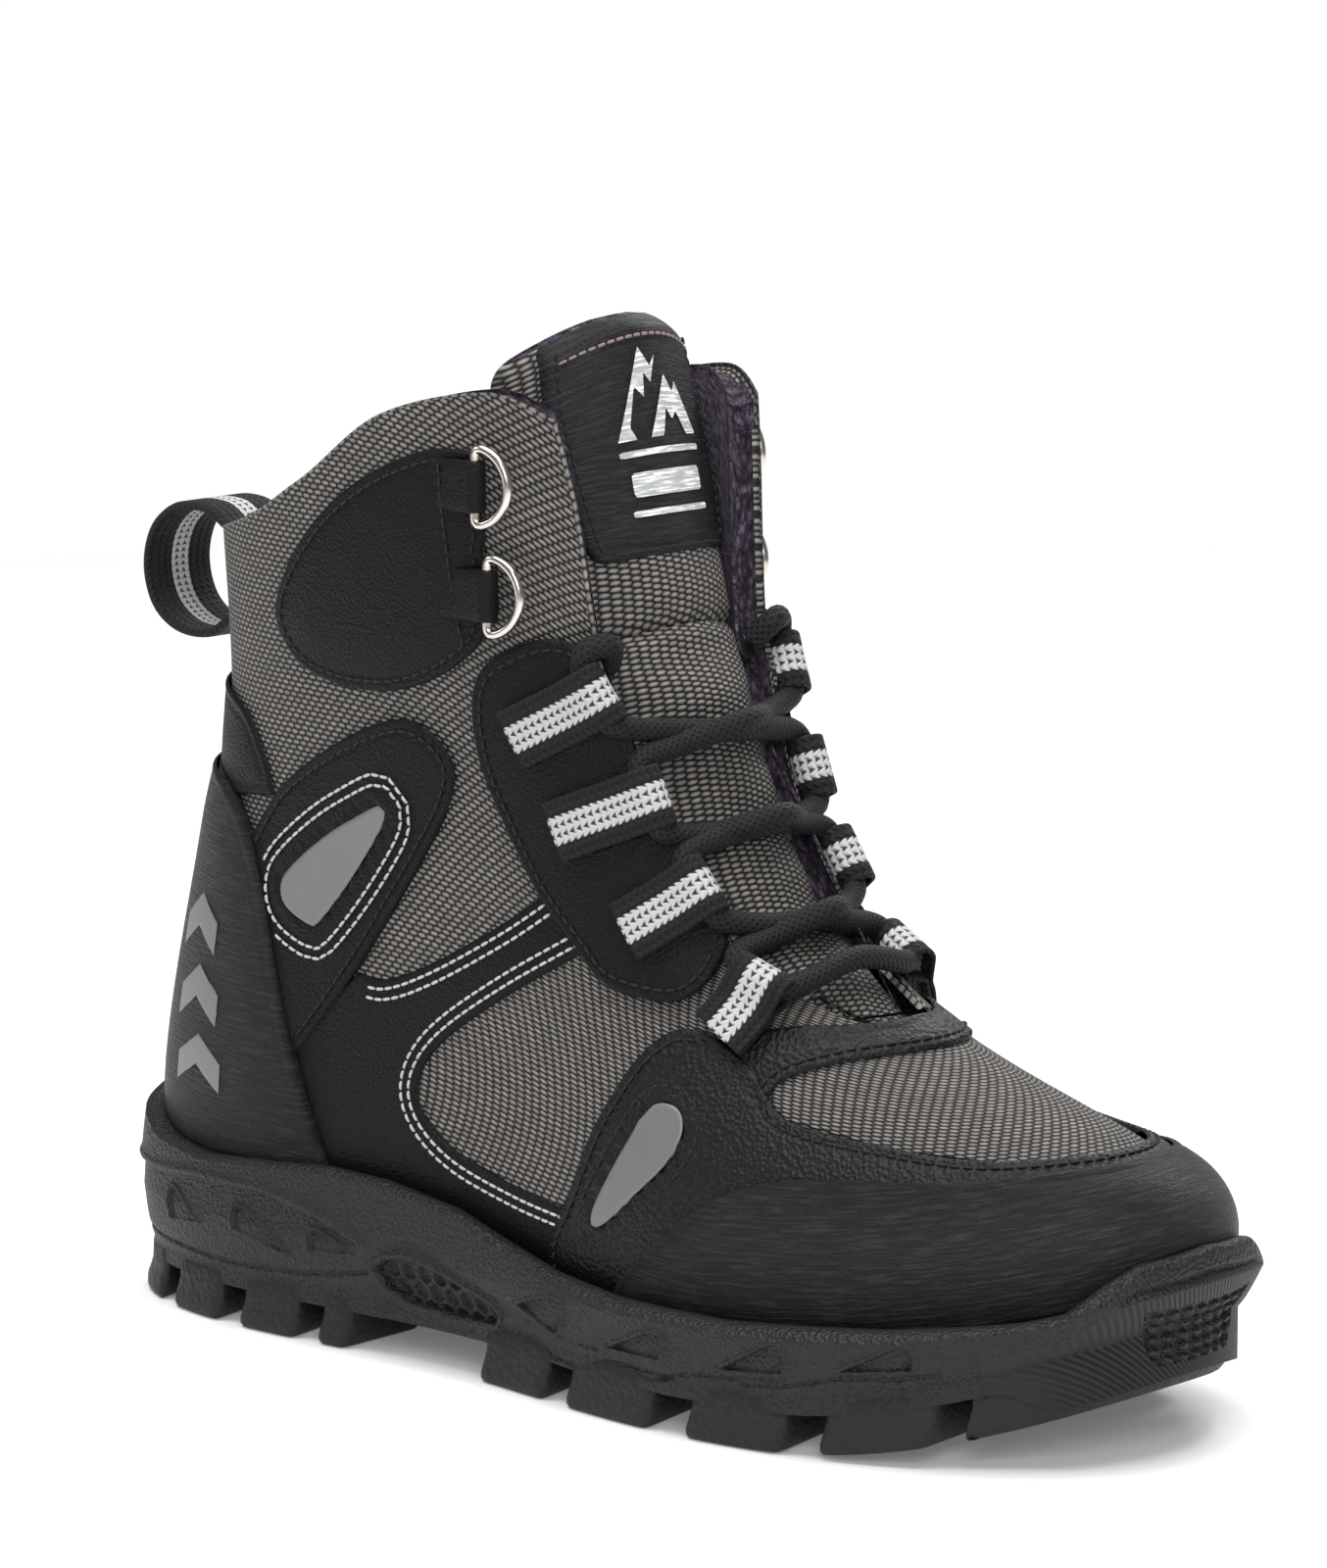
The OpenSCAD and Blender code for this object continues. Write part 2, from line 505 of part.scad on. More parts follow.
module lace_loop_lateral_3() lace_loop(2, false);
module lace_loop_lateral_4() lace_loop(3, false);
module lace_loop_medial_1() lace_loop(0, true);
module lace_loop_medial_2() lace_loop(1, true);
module lace_loop_medial_3() lace_loop(2, true);
module lace_loop_medial_4() lace_loop(3, true);

// ---------------------------------------------------------------- lace

// Half of the laced run: down through the loops from the tuck at the top, crossing the
// tongue between one loop and the next, to the middle of the bar at the bottom.
// It starts on the lateral side; the other half is its mirror image, crossing on top.
LACE_HALF = [[143.5,-22.8,151],[146.8,-26,155.5],[144.5,-30.8,155],[144,-31.5,150],
    [146.4,-30.4,145.6],[149.6,-28.6,140],[153.5,-15,137.6],[157.4,0,136.4],
    [155.4,15,134.8],[153.8,25,132.2],[157,25.8,125.1],[159.9,24.6,118.6],
    [163.6,13,117],[166.4,0,117.6],[164.6,-13,116.4],[163.6,-22.8,113.4],
    [168,-23.4,107.3],[172.4,-21.8,101.8],[176.6,-12,99.4],[179.8,0,99.4],
    [178.4,12,97.2],[177.6,22.6,94.4],[183.6,22.6,89.8],[188.6,18,89],[190.6,0.3,92.6]];
over_cross = [4.4, 0, 2.6];

// The crossing points of the upper strand ride over the lower one
function mirrored_half() = [for (p = LACE_HALF)
    [p.x, -p.y, p.z] + (abs(p.y) < 1 && p.x < 185 ? over_cross : [0, 0, 0])];
function lace_path() =
    concat(LACE_HALF, [for (i = [len(LACE_HALF) - 2:-1:0]) mirrored_half()[i]]);
module lace() color("#151516") on_boot() cord(curve(lace_path(), 96), lace_d);

// Loose end of the lace, tucked down beside the tongue and laid on the footbed
TAIL = [[142,-22.6,149.6],[137,-22,145],[129,-20.5,134],[124.5,-18.5,110],[122,-17,80],
    [119,-17,50],[110,-17,34.5],[90,-17,33.2],[60,-17,34.4],[42,-16,35],[34,-11,35.2],
    [41,-5.5,35],[60,-5,34.4],[80,-5,33.8],[100,-5,32]];
AGLET_END = [122, -5, 29.8];
module lace_tail(medial) color("#151516") on_boot() cord(
    curve([for (p = TAIL) [p.x, medial ? -p.y : p.y, p.z]], 48), lace_d);
module lace_tail_lateral() lace_tail(false);
module lace_tail_medial() lace_tail(true);
module aglet(medial) {
    start = TAIL[len(TAIL) - 1];
    run = AGLET_END - start;
    color("#101011") on_boot() mirror([0, medial ? 1 : 0, 0])
        translate(start + 0.02 * run) rotate([0, acos(run.z / norm(run)), 0])
            cylinder(d = 3.6, h = 0.98 * norm(run));
}
module aglet_lateral() aglet(false);
module aglet_medial() aglet(true);

// ---------------------------------------------------------------- tongue

// Middle line of the tongue's face: [x, z, half width, depth of the side wings]
TONGUE_LOW = [[208,69,19,7],[198,77.5,21,11],[186,88,22,13],[172,102.5,22,14],
    [161,120,21,12],[153,138,20,11],[147,152,19,8],[145.2,156,19,7]];
TONGUE_TOP = [[143.8,159,19,6],[142,164,21,6],[139.5,173,22,6],[136.6,187,22,6],
    [133.4,202,21,5.5],[130.8,214,19,5],[130,218,17,4.5]];

// A strip that follows the middle line, from one height off its face to another
module tongue_strip(line, along, across, top, thick, widen = 0) {
    c = curve(line, along);
    function facing(i) = let (d = c[min(i + 1, along)] - c[max(i - 1, 0)])
        unit([d[1], -d[0]]);
    function place(i, j, h) = let (s = 2 * j / across - 1, n = facing(i),
        q = [c[i][0], c[i][1]] + n * (h - c[i][3] * s * s))
        [q.x, s * (c[i][2] + widen) + toe_swing(c[i][0], c[i][1]), q.y];
    solid_between([for (i = [0:along]) [for (j = [0:across]) place(i, j, top)]],
        [for (i = [0:along]) [for (j = [0:across]) place(i, j, top - thick)]],
        flip = true);
}
module tongue() color("#77736c") on_boot() tongue_strip(TONGUE_LOW, 16, 8, 0, 5);
module tongue_top() color("#77736c") on_boot() tongue_strip(TONGUE_TOP, 12, 8, 0, 8);
module tongue_label() color("#232325") on_boot()
    tongue_strip([for (k = [2:6]) TONGUE_TOP[k]], 8, 8, 1.9, 0.8, -2);

// ---------------------------------------------------------------- pull loop

// Side view of the webbing loop, [x, z], clear of the shaft by its swing
PULL = [[22.2,168],[16,171.8],[7,171.6],[0,166.5],[-2.6,158],[0,149.5],[7,144.6],
    [16,144.2],[22.2,148]];
module pull_loop() color("#161617") on_boot()
    webbing(curve([for (p = PULL) [p.x, 0, p.y]], 20), [0, 1, 0], pull_w, 2);

outsole();
midsole();
arch_window_lateral();
arch_window_medial();
shank();
insole_board();
footbed();
heel_counter();
toe_puff();
vamp();
quarter_lateral();
quarter_medial();
quarter_lining();
vamp_lining();
collar_foam();
toe_cap();
mudguard();
front_reflector_lateral();
front_reflector_medial();
side_overlay_lateral();
side_overlay_medial();
rear_panel_lateral();
rear_panel_medial();
rear_reflector_lateral();
rear_reflector_medial();
heel_cap();
backstay();
heel_webbing();
eyestay_lateral();
eyestay_medial();
throat_yoke();
ankle_patch_lateral();
ankle_patch_medial();
ring_tabs_lateral();
ring_tabs_medial();
lace_loop_lateral_1();
lace_loop_lateral_2();
lace_loop_lateral_3();
lace_loop_lateral_4();
lace_loop_medial_1();
lace_loop_medial_2();
lace_loop_medial_3();
lace_loop_medial_4();
tongue();
lace();
lace_tail_lateral();
lace_tail_medial();
aglet_lateral();
aglet_medial();
tongue_top();
tongue_label();
d_ring_lateral_upper();
d_ring_lateral_lower();
d_ring_medial_upper();
d_ring_medial_lower();
pull_loop();
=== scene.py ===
"""Looks of the hiking boot: its layers, seams, sole, lace and metal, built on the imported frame.

Lengths are in millimetres from the rear reference line until a mesh is made, when place()
turns them into metres in the row frame. A place on the upper is (u, v) on the foot form:
u runs 0 at the heel, 0..8 along the lateral side, 8 at the front and 8..16 medial,
v runs 0 at the sole's feather line to 9 above the collar. h is a height off the form.
"""
import math

import bpy
import numpy as np
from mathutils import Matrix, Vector
from mathutils.geometry import delaunay_2d_cdt


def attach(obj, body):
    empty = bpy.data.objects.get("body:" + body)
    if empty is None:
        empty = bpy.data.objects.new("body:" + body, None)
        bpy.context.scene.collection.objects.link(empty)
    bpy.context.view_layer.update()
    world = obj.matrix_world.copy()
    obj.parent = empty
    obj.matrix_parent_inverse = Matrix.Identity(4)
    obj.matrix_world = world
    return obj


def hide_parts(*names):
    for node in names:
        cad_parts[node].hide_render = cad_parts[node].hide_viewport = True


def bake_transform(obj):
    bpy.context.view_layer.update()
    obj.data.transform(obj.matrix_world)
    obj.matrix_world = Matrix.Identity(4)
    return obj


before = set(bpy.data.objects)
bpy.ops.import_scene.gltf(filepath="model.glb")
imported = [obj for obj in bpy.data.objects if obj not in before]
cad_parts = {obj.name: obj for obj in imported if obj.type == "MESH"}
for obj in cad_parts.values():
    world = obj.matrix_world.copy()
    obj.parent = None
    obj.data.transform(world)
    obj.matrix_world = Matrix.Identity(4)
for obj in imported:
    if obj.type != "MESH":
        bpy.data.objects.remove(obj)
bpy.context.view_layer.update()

HEEL_TO_CENTRE = 136.4
SIDE_TO_CENTRE = 2.4

# Heights of the layers off the form
FABRIC = -2.2
OVERLAY = -0.9
TOP_OVERLAY = 0.3
SHEET = 1.7
LINING = -8.9
SEAM_IN = 2.3           # stitch line's distance from an edge
RIM_RINGS = (0.35, 0.9, 1.6, SEAM_IN, 3.1)
OUTLINE_STEP = 1.2
GRID_IN = 3.9           # where a panel's regular grid starts, in from its edge
LACE_D = 5.2

BODY = "boot"


def place(points):
    """Millimetres from the rear reference line, as metres in the row frame."""
    shift = np.array([HEEL_TO_CENTRE, SIDE_TO_CENTRE, 0])
    return (np.asarray(points, float) - shift) / 1000


def clamp(t):
    """t held between 0 and 1."""
    return np.clip(t, 0, 1)


def smoothstep(a, b, x):
    """0 up to a and 1 past b, with a smooth rise between."""
    t = clamp((x - a) / (b - a))
    return t * t * (3 - 2 * t)


# ------------------------------------------------------------------ the foot form

# Nine places from the heel to the front, on ten levels from the sole to the collar
LEVELS = [
    [(10, 0, 26), (12, -20, 26), (40, -34, 25), (80, -34, 24), (120, -34, 20),
     (165, -41, 15), (215, -44, 17), (262, -30, 27), (274, 0, 32)],
    [(8, 0, 42), (10, -22, 42), (40, -38, 41), (80, -38, 40), (120, -38, 36),
     (165, -47, 31), (215, -49, 32), (264, -33, 42), (277, 0, 46)],
    [(11, 0, 62), (13, -22, 62), (42, -38, 62), (80, -39, 62), (120, -38, 58),
     (165, -43, 50), (212, -45, 46), (258, -30, 55), (272, 0, 58)],
    [(16, 0, 85), (18, -21, 85), (45, -37, 86), (82, -38, 86), (118, -37, 82),
     (155, -37, 74), (195, -34, 66), (235, -20, 67), (247, 0, 69)],
    [(22, 0, 108), (24, -20, 108), (48, -36, 110), (82, -38, 110), (114, -36, 106),
     (144, -33, 98), (173, -27, 88), (201, -15, 80), (214, 0, 79)],
    [(25, 0, 130), (27, -20, 130), (52, -37, 132), (84, -40, 133), (112, -38, 130),
     (136, -34, 124), (158, -27, 112), (180, -14, 97), (190, 0, 94)],
    [(25, 0, 150), (27, -21, 150), (53, -39, 152), (84, -42, 153), (110, -41, 152),
     (132, -36, 148), (150, -27, 138), (163, -13, 125), (169, 0, 121)],
    [(24, 0, 170), (26, -22, 170), (53, -41, 172), (84, -44, 174), (111, -43, 175),
     (132, -38, 174), (148, -27, 170), (157, -12, 163), (160, 0, 160)],
    [(23, 0, 190), (25, -22, 190), (53, -42, 192), (84, -45, 195), (111, -44, 197),
     (133, -39, 199), (148, -27, 199), (157, -12, 198), (159, 0, 197)],
    [(22, 0, 212), (24, -22, 212), (53, -42, 214), (84, -45, 218), (111, -44, 221),
     (133, -39, 224), (148, -27, 226), (156, -12, 227), (158, 0, 227)]]


def toe_swing(x, z):
    """How far the toe leans to the medial side."""
    t = clamp((np.asarray(x, float) - 150) / 125)
    return 8 * (3 * t**2 - 2 * t**3) * clamp((110 - np.asarray(z, float)) / 60)


def all_round(side):
    """Sixteen places right round a level, from its nine on the lateral side."""
    lateral = np.array(side, float)
    medial = lateral[1:-1][::-1].copy()
    x, z = medial[:, 0], medial[:, 2]
    arch = 1 - 0.10 * np.exp(-((x - 120) / 45)**2) * clamp((90 - z) / 40)
    medial[:, 1] *= -arch
    ring = np.vstack([lateral, medial])
    ring[:, 1] += toe_swing(ring[:, 0], ring[:, 2])
    return ring


NET = np.array([all_round(level) for level in LEVELS])


def from_heel(u):
    """How far round from the heel a place is, on either side: 0 at the heel, 8 in front."""
    return 8 - np.abs(8 - np.mod(u, 16))


def weights(t):
    """The four weights of a uniform cubic B-spline."""
    return np.array([(1 - t)**3, 3 * t**3 - 6 * t**2 + 4,
                     -3 * t**3 + 3 * t**2 + 3 * t + 1, t**3]) / 6


def around(ring, u):
    """Point of a closed B-spline through sixteen control places."""
    u = np.asarray(u, float)
    i = np.floor(u).astype(int)
    w = weights(u - i)
    return sum(w[k][..., None] * ring[(i + k - 1) % len(ring)] for k in range(4))


def skin(u, v):
    """Point of the foot form."""
    u, v = np.broadcast_arrays(np.asarray(u, float), np.asarray(v, float))
    i = np.floor(u).astype(int)
    j = np.clip(np.floor(v).astype(int), 0, 8)
    wu, wv = weights(u - i), weights(v - j)
    rows = np.concatenate([[2 * NET[0] - NET[1]], NET, [2 * NET[9] - NET[8]]])
    total = 0
    for a in range(4):
        for b in range(4):
            total = total + (wv[a] * wu[b])[..., None] * rows[j + a, (i + b - 1) % 16]
    return total


def slopes(u, v):
    """How the form moves with u and with v."""
    e = 0.01
    du = (skin(u + e, v) - skin(u - e, v)) / (2 * e)
    dv = (skin(u, v + e) - skin(u, v - e)) / (2 * e)
    return du, dv


def unit(a):
    """Vectors scaled to length 1."""
    return a / np.maximum(np.linalg.norm(a, axis=-1, keepdims=True), 1e-9)


def off_skin(u, v, h):
    """Points at height h off the form."""
    du, dv = slopes(np.asarray(u, float), np.asarray(v, float))
    return skin(u, v) + np.asarray(h, float)[..., None] * unit(np.cross(du, dv))


class Lengths:
    """Lengths along the form from a starting u, used as a weave's own coordinates."""

    U_STEP = 0.05
    V_STEP = 0.1

    def __init__(self, start):
        self.u = np.arange(-8, 24.001, self.U_STEP)
        self.v = np.arange(0, 9.001, self.V_STEP)
        uu, vv = np.meshgrid(self.u, self.v)
        p = skin(uu, vv)
        su = np.linalg.norm(np.diff(p, axis=1), axis=2)
        sv = np.linalg.norm(np.diff(p, axis=0), axis=2)
        self.s = np.hstack([np.zeros((len(self.v), 1)), np.cumsum(su, 1)])
        self.s -= self.s[:, [int(round((start + 8) / self.U_STEP))]]
        self.t = np.vstack([np.zeros((1, len(self.u))), np.cumsum(sv, 0)])

    def __call__(self, u, v):
        """(across, along) in metres."""
        a = np.clip((np.asarray(u) + 8) / self.U_STEP, 0, len(self.u) - 1.001)
        b = np.clip(np.asarray(v) / self.V_STEP, 0, len(self.v) - 1.001)
        i, j = a.astype(int), b.astype(int)
        fa, fb = a - i, b - j
        out = []
        for g in (self.s, self.t):
            out.append((g[j, i] * (1 - fa) + g[j, i + 1] * fa) * (1 - fb)
                       + (g[j + 1, i] * (1 - fa) + g[j + 1, i + 1] * fa) * fb)
        return np.stack(out, -1) / 1000


# ------------------------------------------------------------------ curves and meshes

def curve(points, count):
    """Smooth curve through the points (Catmull-Rom), as count places."""
    p = np.array(points, float)
    if len(p) == 2:
        return p[0] + (p[1] - p[0]) * np.linspace(0, 1, count)[:, None]
    q = np.vstack([2 * p[0] - p[1], p, 2 * p[-1] - p[-2]])
    s = np.linspace(0, len(p) - 1, count)
    i = np.minimum(s.astype(int), len(p) - 2)
    t = (s - i)[:, None]
    a, b, c, d = q[i], q[i + 1], q[i + 2], q[i + 3]
    return 0.5 * (2 * b + (c - a) * t + (2 * a - 5 * b + 4 * c - d) * t**2
                  + (3 * b - a - 3 * c + d) * t**3)


def run_along(line):
    """Length from the start of a line to each of its places."""
    return np.concatenate([[0], np.cumsum(np.linalg.norm(np.diff(line, axis=0), axis=1))])


def even(points, step, closed=False):
    """The same line with its places a step apart."""
    p = np.array(points, float)
    if closed:
        p = np.vstack([p, p[:1]])
    run = run_along(p)
    count = max(3, int(round(run[-1] / step)))
    s = np.linspace(0, run[-1], count + 1)
    out = np.stack([np.interp(s, run, p[:, k]) for k in range(p.shape[1])], 1)
    return out[:-1] if closed else out


def even_uv(points, step):
    """A (u, v) line resampled so that its places are a step apart on the form."""
    p = np.array(points, float)
    q = skin(p[:, 0], p[:, 1])
    run = run_along(q)
    s = np.linspace(0, run[-1], max(2, int(round(run[-1] / step))) + 1)
    return np.stack([np.interp(s, run, p[:, k]) for k in range(2)], 1)


def new_piece(name, points, faces, material, uv=None, body=BODY, corner_uv=None):
    """Mesh piece from points in millimetres, which rides on a body unless it is None.

    uv gives its own coordinates by point, and corner_uv by corner of each face.
    """
    mesh = bpy.data.meshes.new(name)
    mesh.from_pydata([tuple(p) for p in place(points)], [], [tuple(f) for f in faces])
    mesh.validate()
    if corner_uv is not None:
        layer = mesh.uv_layers.new(name="length")
        layer.data.foreach_set("uv", np.asarray(corner_uv, np.float32).ravel())
    if uv is not None:
        layer = mesh.uv_layers.new(name="length")
        corners = np.empty(len(mesh.loops), np.int32)
        mesh.loops.foreach_get("vertex_index", corners)
        layer.data.foreach_set("uv", np.asarray(uv, np.float32)[corners].ravel())
    mesh.polygons.foreach_set("use_smooth", [True] * len(mesh.polygons))
    obj = bpy.data.objects.new(name, mesh)
    bpy.context.scene.collection.objects.link(obj)
    for m in material if isinstance(material, (list, tuple)) else [material]:
        obj.data.materials.append(m)
    if body:
        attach(obj, body)
    return obj


def grid_faces(rows, cols, wrap=False):
    """Quads of a grid of points, row by row; wrap joins the last column to the first."""
    i, j = np.meshgrid(np.arange(rows - 1), np.arange(cols if wrap else cols - 1),
                       indexing="ij")
    a = i * cols + j
    b = i * cols + (j + 1) % cols
    return np.stack([a, b, b + cols, a + cols], -1).reshape(-1, 4).tolist()


def nearest(points, line):
    """Distance from each point to a line of closely spaced points."""
    out = np.full(len(points), 1e9)
    for k in range(0, len(line), 200):
        d = np.linalg.norm(points[:, None] - line[None, k:k + 200], axis=2)
        out = np.minimum(out, d.min(1))
    return out


LENGTHS = {start: Lengths(start) for start in (0, 4, 8, 12)}


def outline_of(runs):
    """Closed (u, v) outline from smooth runs that meet at corners."""
    return np.vstack([even_uv(curve(run, 12 * len(run)), OUTLINE_STEP)[:-1] for run in runs])


def other_side(line):
    """(u, v) places mirrored to the boot's other side."""
    return np.stack([16 - line[:, 0], line[:, 1]], 1)


def turned(outline):
    """The outline, anticlockwise."""
    x, y = outline[:, 0], outline[:, 1]
    area = np.sum(x * np.roll(y, -1) - np.roll(x, -1) * y)
    return outline if area > 0 else outline[::-1]


def uv_step(du, dv, way):
    """Step of (u, v) that moves each place one millimetre over the form along way."""
    guu, guv, gvv = (np.sum(a * b, 1) for a, b in ((du, du), (du, dv), (dv, dv)))
    ru, rv = np.sum(du * way, 1), np.sum(dv * way, 1)
    det = guu * gvv - guv**2
    return np.stack([(gvv * ru - guv * rv) / det, (guu * rv - guv * ru) / det], 1)


def inward(outline, distance):
    """The (u, v) outline moved in over the form by a distance."""
    u, v = outline[:, 0], outline[:, 1]
    du, dv = slopes(u, v)
    ahead = np.roll(skin(u, v), -1, 0) - np.roll(skin(u, v), 1, 0)
    side = unit(np.cross(unit(np.cross(du, dv)), unit(ahead)))
    return outline + distance * uv_step(du, dv, side)


def triangulated(flat, n):
    """Places and triangles over flat places, of which the first n are the rim."""
    cut = delaunay_2d_cdt([Vector(p) for p in flat.tolist()],
                          [(k, (k + 1) % n) for k in range(n)], [], 1, 1e-6)
    return np.array([tuple(p) for p in cut[0]]), [f for f in cut[2] if len(f) == 3]


def panel(name, runs, material, top, thick=SHEET, round_r=0.8, groove=0.22, dome=0.0,
          start=4, medial=False, grid=(0.075, 0.085), relief=None, under=False):
    """Sheet of material on the form, with rounded edges and a dent along its seam.

    runs is its outline, dome how far its middle swells, relief an extra height as a
    function of (u, v), and under turns the sheet over, to face into the boot.
    """
    edge = turned(outline_of(runs))
    if medial:
        edge = turned(other_side(edge))
    rim = skin(edge[:, 0], edge[:, 1])
    loops = [edge]
    for d in RIM_RINGS:
        loop = inward(edge, d)
        far = nearest(skin(loop[:, 0], loop[:, 1]), rim)
        loops.append(loop[far > 0.8 * d])
    gu = np.arange(edge[:, 0].min(), edge[:, 0].max(), grid[0])
    gv = np.arange(max(edge[:, 1].min(), 0), edge[:, 1].max(), grid[1])
    inner = np.stack(np.meshgrid(gu, gv), -1).reshape(-1, 2)
    far = nearest(skin(inner[:, 0], inner[:, 1]), rim)
    inner = inner[far > GRID_IN]
    uv, faces = triangulated(np.vstack(loops + [inner]), len(edge))
    order = {tuple(np.round(p, 7)): k for k, p in enumerate(uv)}
    border = [order.get(tuple(np.round(p, 7))) for p in edge]
    border = [b for b in border if b is not None]
    far = nearest(skin(uv[:, 0], uv[:, 1]), rim)
    far[border] = 0
    drop = round_r - np.sqrt(np.maximum(round_r**2 - np.maximum(round_r - far, 0)**2, 0))
    dent = groove * np.exp(-((far - SEAM_IN) / 0.55)**2)
    height = -drop - dent + dome * (1 - np.exp(-(far / 7)**2))
    if relief is not None:
        height = height + relief(uv[:, 0], uv[:, 1])
    sign = -1 if under else 1
    face = off_skin(uv[:, 0], uv[:, 1], top + sign * height)
    back = off_skin(uv[border, 0], uv[border, 1], np.full(len(border), top - sign * thick))
    points = np.vstack([face, back])
    m = len(face)
    skirt = [(border[k], m + k, m + (k + 1) % len(border), border[(k + 1) % len(border)])
             for k in range(len(border))]
    faces += skirt
    if under:
        faces = [f[::-1] for f in faces]
    st = LENGTHS[start](uv[:, 0], uv[:, 1])
    st = np.vstack([st, st[border]])
    return new_piece(name, points, faces, material, st)


def layer(name, runs, material, top, kind, **shape):
    """Panel in place of the node of the same name."""
    made = panel(name, runs, material, top, **shape)
    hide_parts(name)
    return made


# ------------------------------------------------------------------ materials

class Shader:
    """A node material, with short calls for the nodes that the boot's materials use."""

    def __init__(self, name, color, rough, **sockets):
        self.material = bpy.data.materials.new(name)
        self.material.use_nodes = True
        self.tree = self.material.node_tree
        self.out = self.tree.nodes["Principled BSDF"]
        self.set("Base Color", (*color, 1))
        self.set("Roughness", rough)
        for key, value in sockets.items():
            self.set(key.replace("_", " "), value)
        self.height = None

    def set(self, socket, value):
        """Give a socket of the shader a value or a link."""
        if hasattr(value, "is_linked"):
            self.tree.links.new(value, self.out.inputs[socket])
        else:
            self.out.inputs[socket].default_value = value

    def node(self, kind, inputs=(), **settings):
        """A node with its inputs linked or set."""
        made = self.tree.nodes.new(kind)
        for key, value in settings.items():
            setattr(made, key, value)
        for key, value in dict(inputs).items():
            if hasattr(value, "is_linked"):
                self.tree.links.new(value, made.inputs[key])
            else:
                made.inputs[key].default_value = value
        return made

    def uv(self):
        return self.node("ShaderNodeUVMap", uv_map="length").outputs[0]

    def scaled(self, vector, scale, turn=0):
        return self.node("ShaderNodeMapping", {"Vector": vector, "Scale": scale,
                                               "Rotation": (0, 0, turn)}).outputs[0]

    def math(self, operation, a, b=0.0):
        return self.node("ShaderNodeMath", {0: a, 1: b}, operation=operation).outputs[0]

    def noise(self, vector, scale, detail=3.0, rough=0.6):
        return self.node("ShaderNodeTexNoise", {"Vector": vector, "Scale": scale,
                         "Detail": detail, "Roughness": rough}).outputs["Fac"]

    def cells(self, vector, scale, feature="F1", smooth=None):
        inputs = {"Vector": vector, "Scale": scale}
        if smooth is not None:
            inputs["Smoothness"] = smooth
        return self.node("ShaderNodeTexVoronoi", inputs, feature=feature).outputs["Distance"]

    def ramp(self, value, stops):
        made = self.node("ShaderNodeValToRGB", {"Fac": value})
        elements = made.color_ramp.elements
        while len(elements) < len(stops):
            elements.new(0.5)
        for element, (at, color) in zip(elements, stops):
            element.position = at
            element.color = (*color, 1) if len(color) == 3 else color
        return made.outputs["Color"]

    def mix(self, factor, a, b):
        made = self.node("ShaderNodeMix", data_type="RGBA")
        for key, value in ((0, factor), (6, a), (7, b)):
            if hasattr(value, "is_linked"):
                self.tree.links.new(value, made.inputs[key])
            else:
                made.inputs[key].default_value = value if key == 0 else (*value, 1)
        return made.outputs[2]

    def bump(self, height, distance, strength=1.0):
        """Add a bump on top of those before it."""
        made = self.node("ShaderNodeBump", {"Height": height, "Distance": distance,
                                            "Strength": strength})
        if self.height is not None:
            self.tree.links.new(self.height, made.inputs["Normal"])
        self.height = made.outputs[0]
        self.set("Normal", self.height)


def gray(value, warm=0.0):
    """A grey, with more red and less blue where it is warm."""
    return (value * (1 + warm), value, value * (1 - warm))


WEAVE_PITCH = (2.35, 1.15)


def weave_material(name, light, dark, turn=0.0):
    """Coarse weave: pale raised dashes in staggered rows on a dark ground, each dash brightened to a
    painted highlight at its crown.
    """
    s = Shader(name, gray(0.02), 0.72, Sheen_Weight=0.03, Specular_IOR_Level=0.3)
    wobble = s.noise(s.scaled(s.uv(), (260, 260, 1)), 1.0, 2.0)
    shift = s.node("ShaderNodeVectorMath", {0: s.uv(), 1: (0.0004, 0.0004, 0)},
                   operation="MULTIPLY_ADD")
    s.tree.links.new(s.node("ShaderNodeCombineXYZ", {0: wobble, 1: wobble}).outputs[0],
                     shift.inputs[0])
    s.tree.links.new(s.uv(), shift.inputs[2])
    grid = s.scaled(shift.outputs[0], (1000 / WEAVE_PITCH[0], 1000 / WEAVE_PITCH[1], 1), turn)
    split = s.node("ShaderNodeSeparateXYZ", {0: grid}).outputs
    row = s.math("FLOOR", split[1])
    half = s.math("MULTIPLY", s.math("MODULO", s.math("ABSOLUTE", row), 2.0), 0.5)
    along = s.math("SUBTRACT", s.math("FRACT", s.math("ADD", split[0], half)), 0.5)
    across = s.math("SUBTRACT", s.math("FRACT", split[1]), 0.5)
    tips = s.math("POWER", s.math("ABSOLUTE", s.math("MULTIPLY", along, 2.0)), 2.6)
    flanks = s.math("POWER", s.math("ABSOLUTE", s.math("MULTIPLY", across, 2.0)), 2.0)
    hump = s.math("SUBTRACT", 1.0, s.math("ADD", tips, flanks))
    hump = s.math("MAXIMUM", hump, 0.0)
    cell = s.node("ShaderNodeTexWhiteNoise", {"Vector": s.node("ShaderNodeCombineXYZ", {
        0: s.math("FLOOR", s.math("ADD", split[0], half)), 1: row}).outputs[0]})
    tone = s.mix(s.math("MULTIPLY", cell.outputs["Value"], 0.45), light, gray(0.05, 0.06))
    patch = s.noise(s.scaled(s.uv(), (60, 60, 1)), 1.0, 2.0)
    tone = s.mix(s.math("MULTIPLY", patch, 0.35), tone, gray(0.075, 0.07))
    strands = s.noise(s.scaled(s.uv(), (900, 6500, 1), turn), 1.0, 2.0)
    tone = s.mix(s.math("MULTIPLY", strands, 0.35), tone, gray(0.3, 0.06))
    # painted highlight and shade: each dash goes from the dark ground through mid tone on its flanks to
    # full tone at its crown
    s.set("Base Color", s.mix(s.ramp(hump, [(0.2, (0, 0, 0)), (0.5, gray(0.42)), (0.95, (1, 1, 1))]),
                              dark, tone))
    s.bump(hump, 0.0004, 0.9)
    s.bump(strands, 0.00008, 0.5)
    return s.material


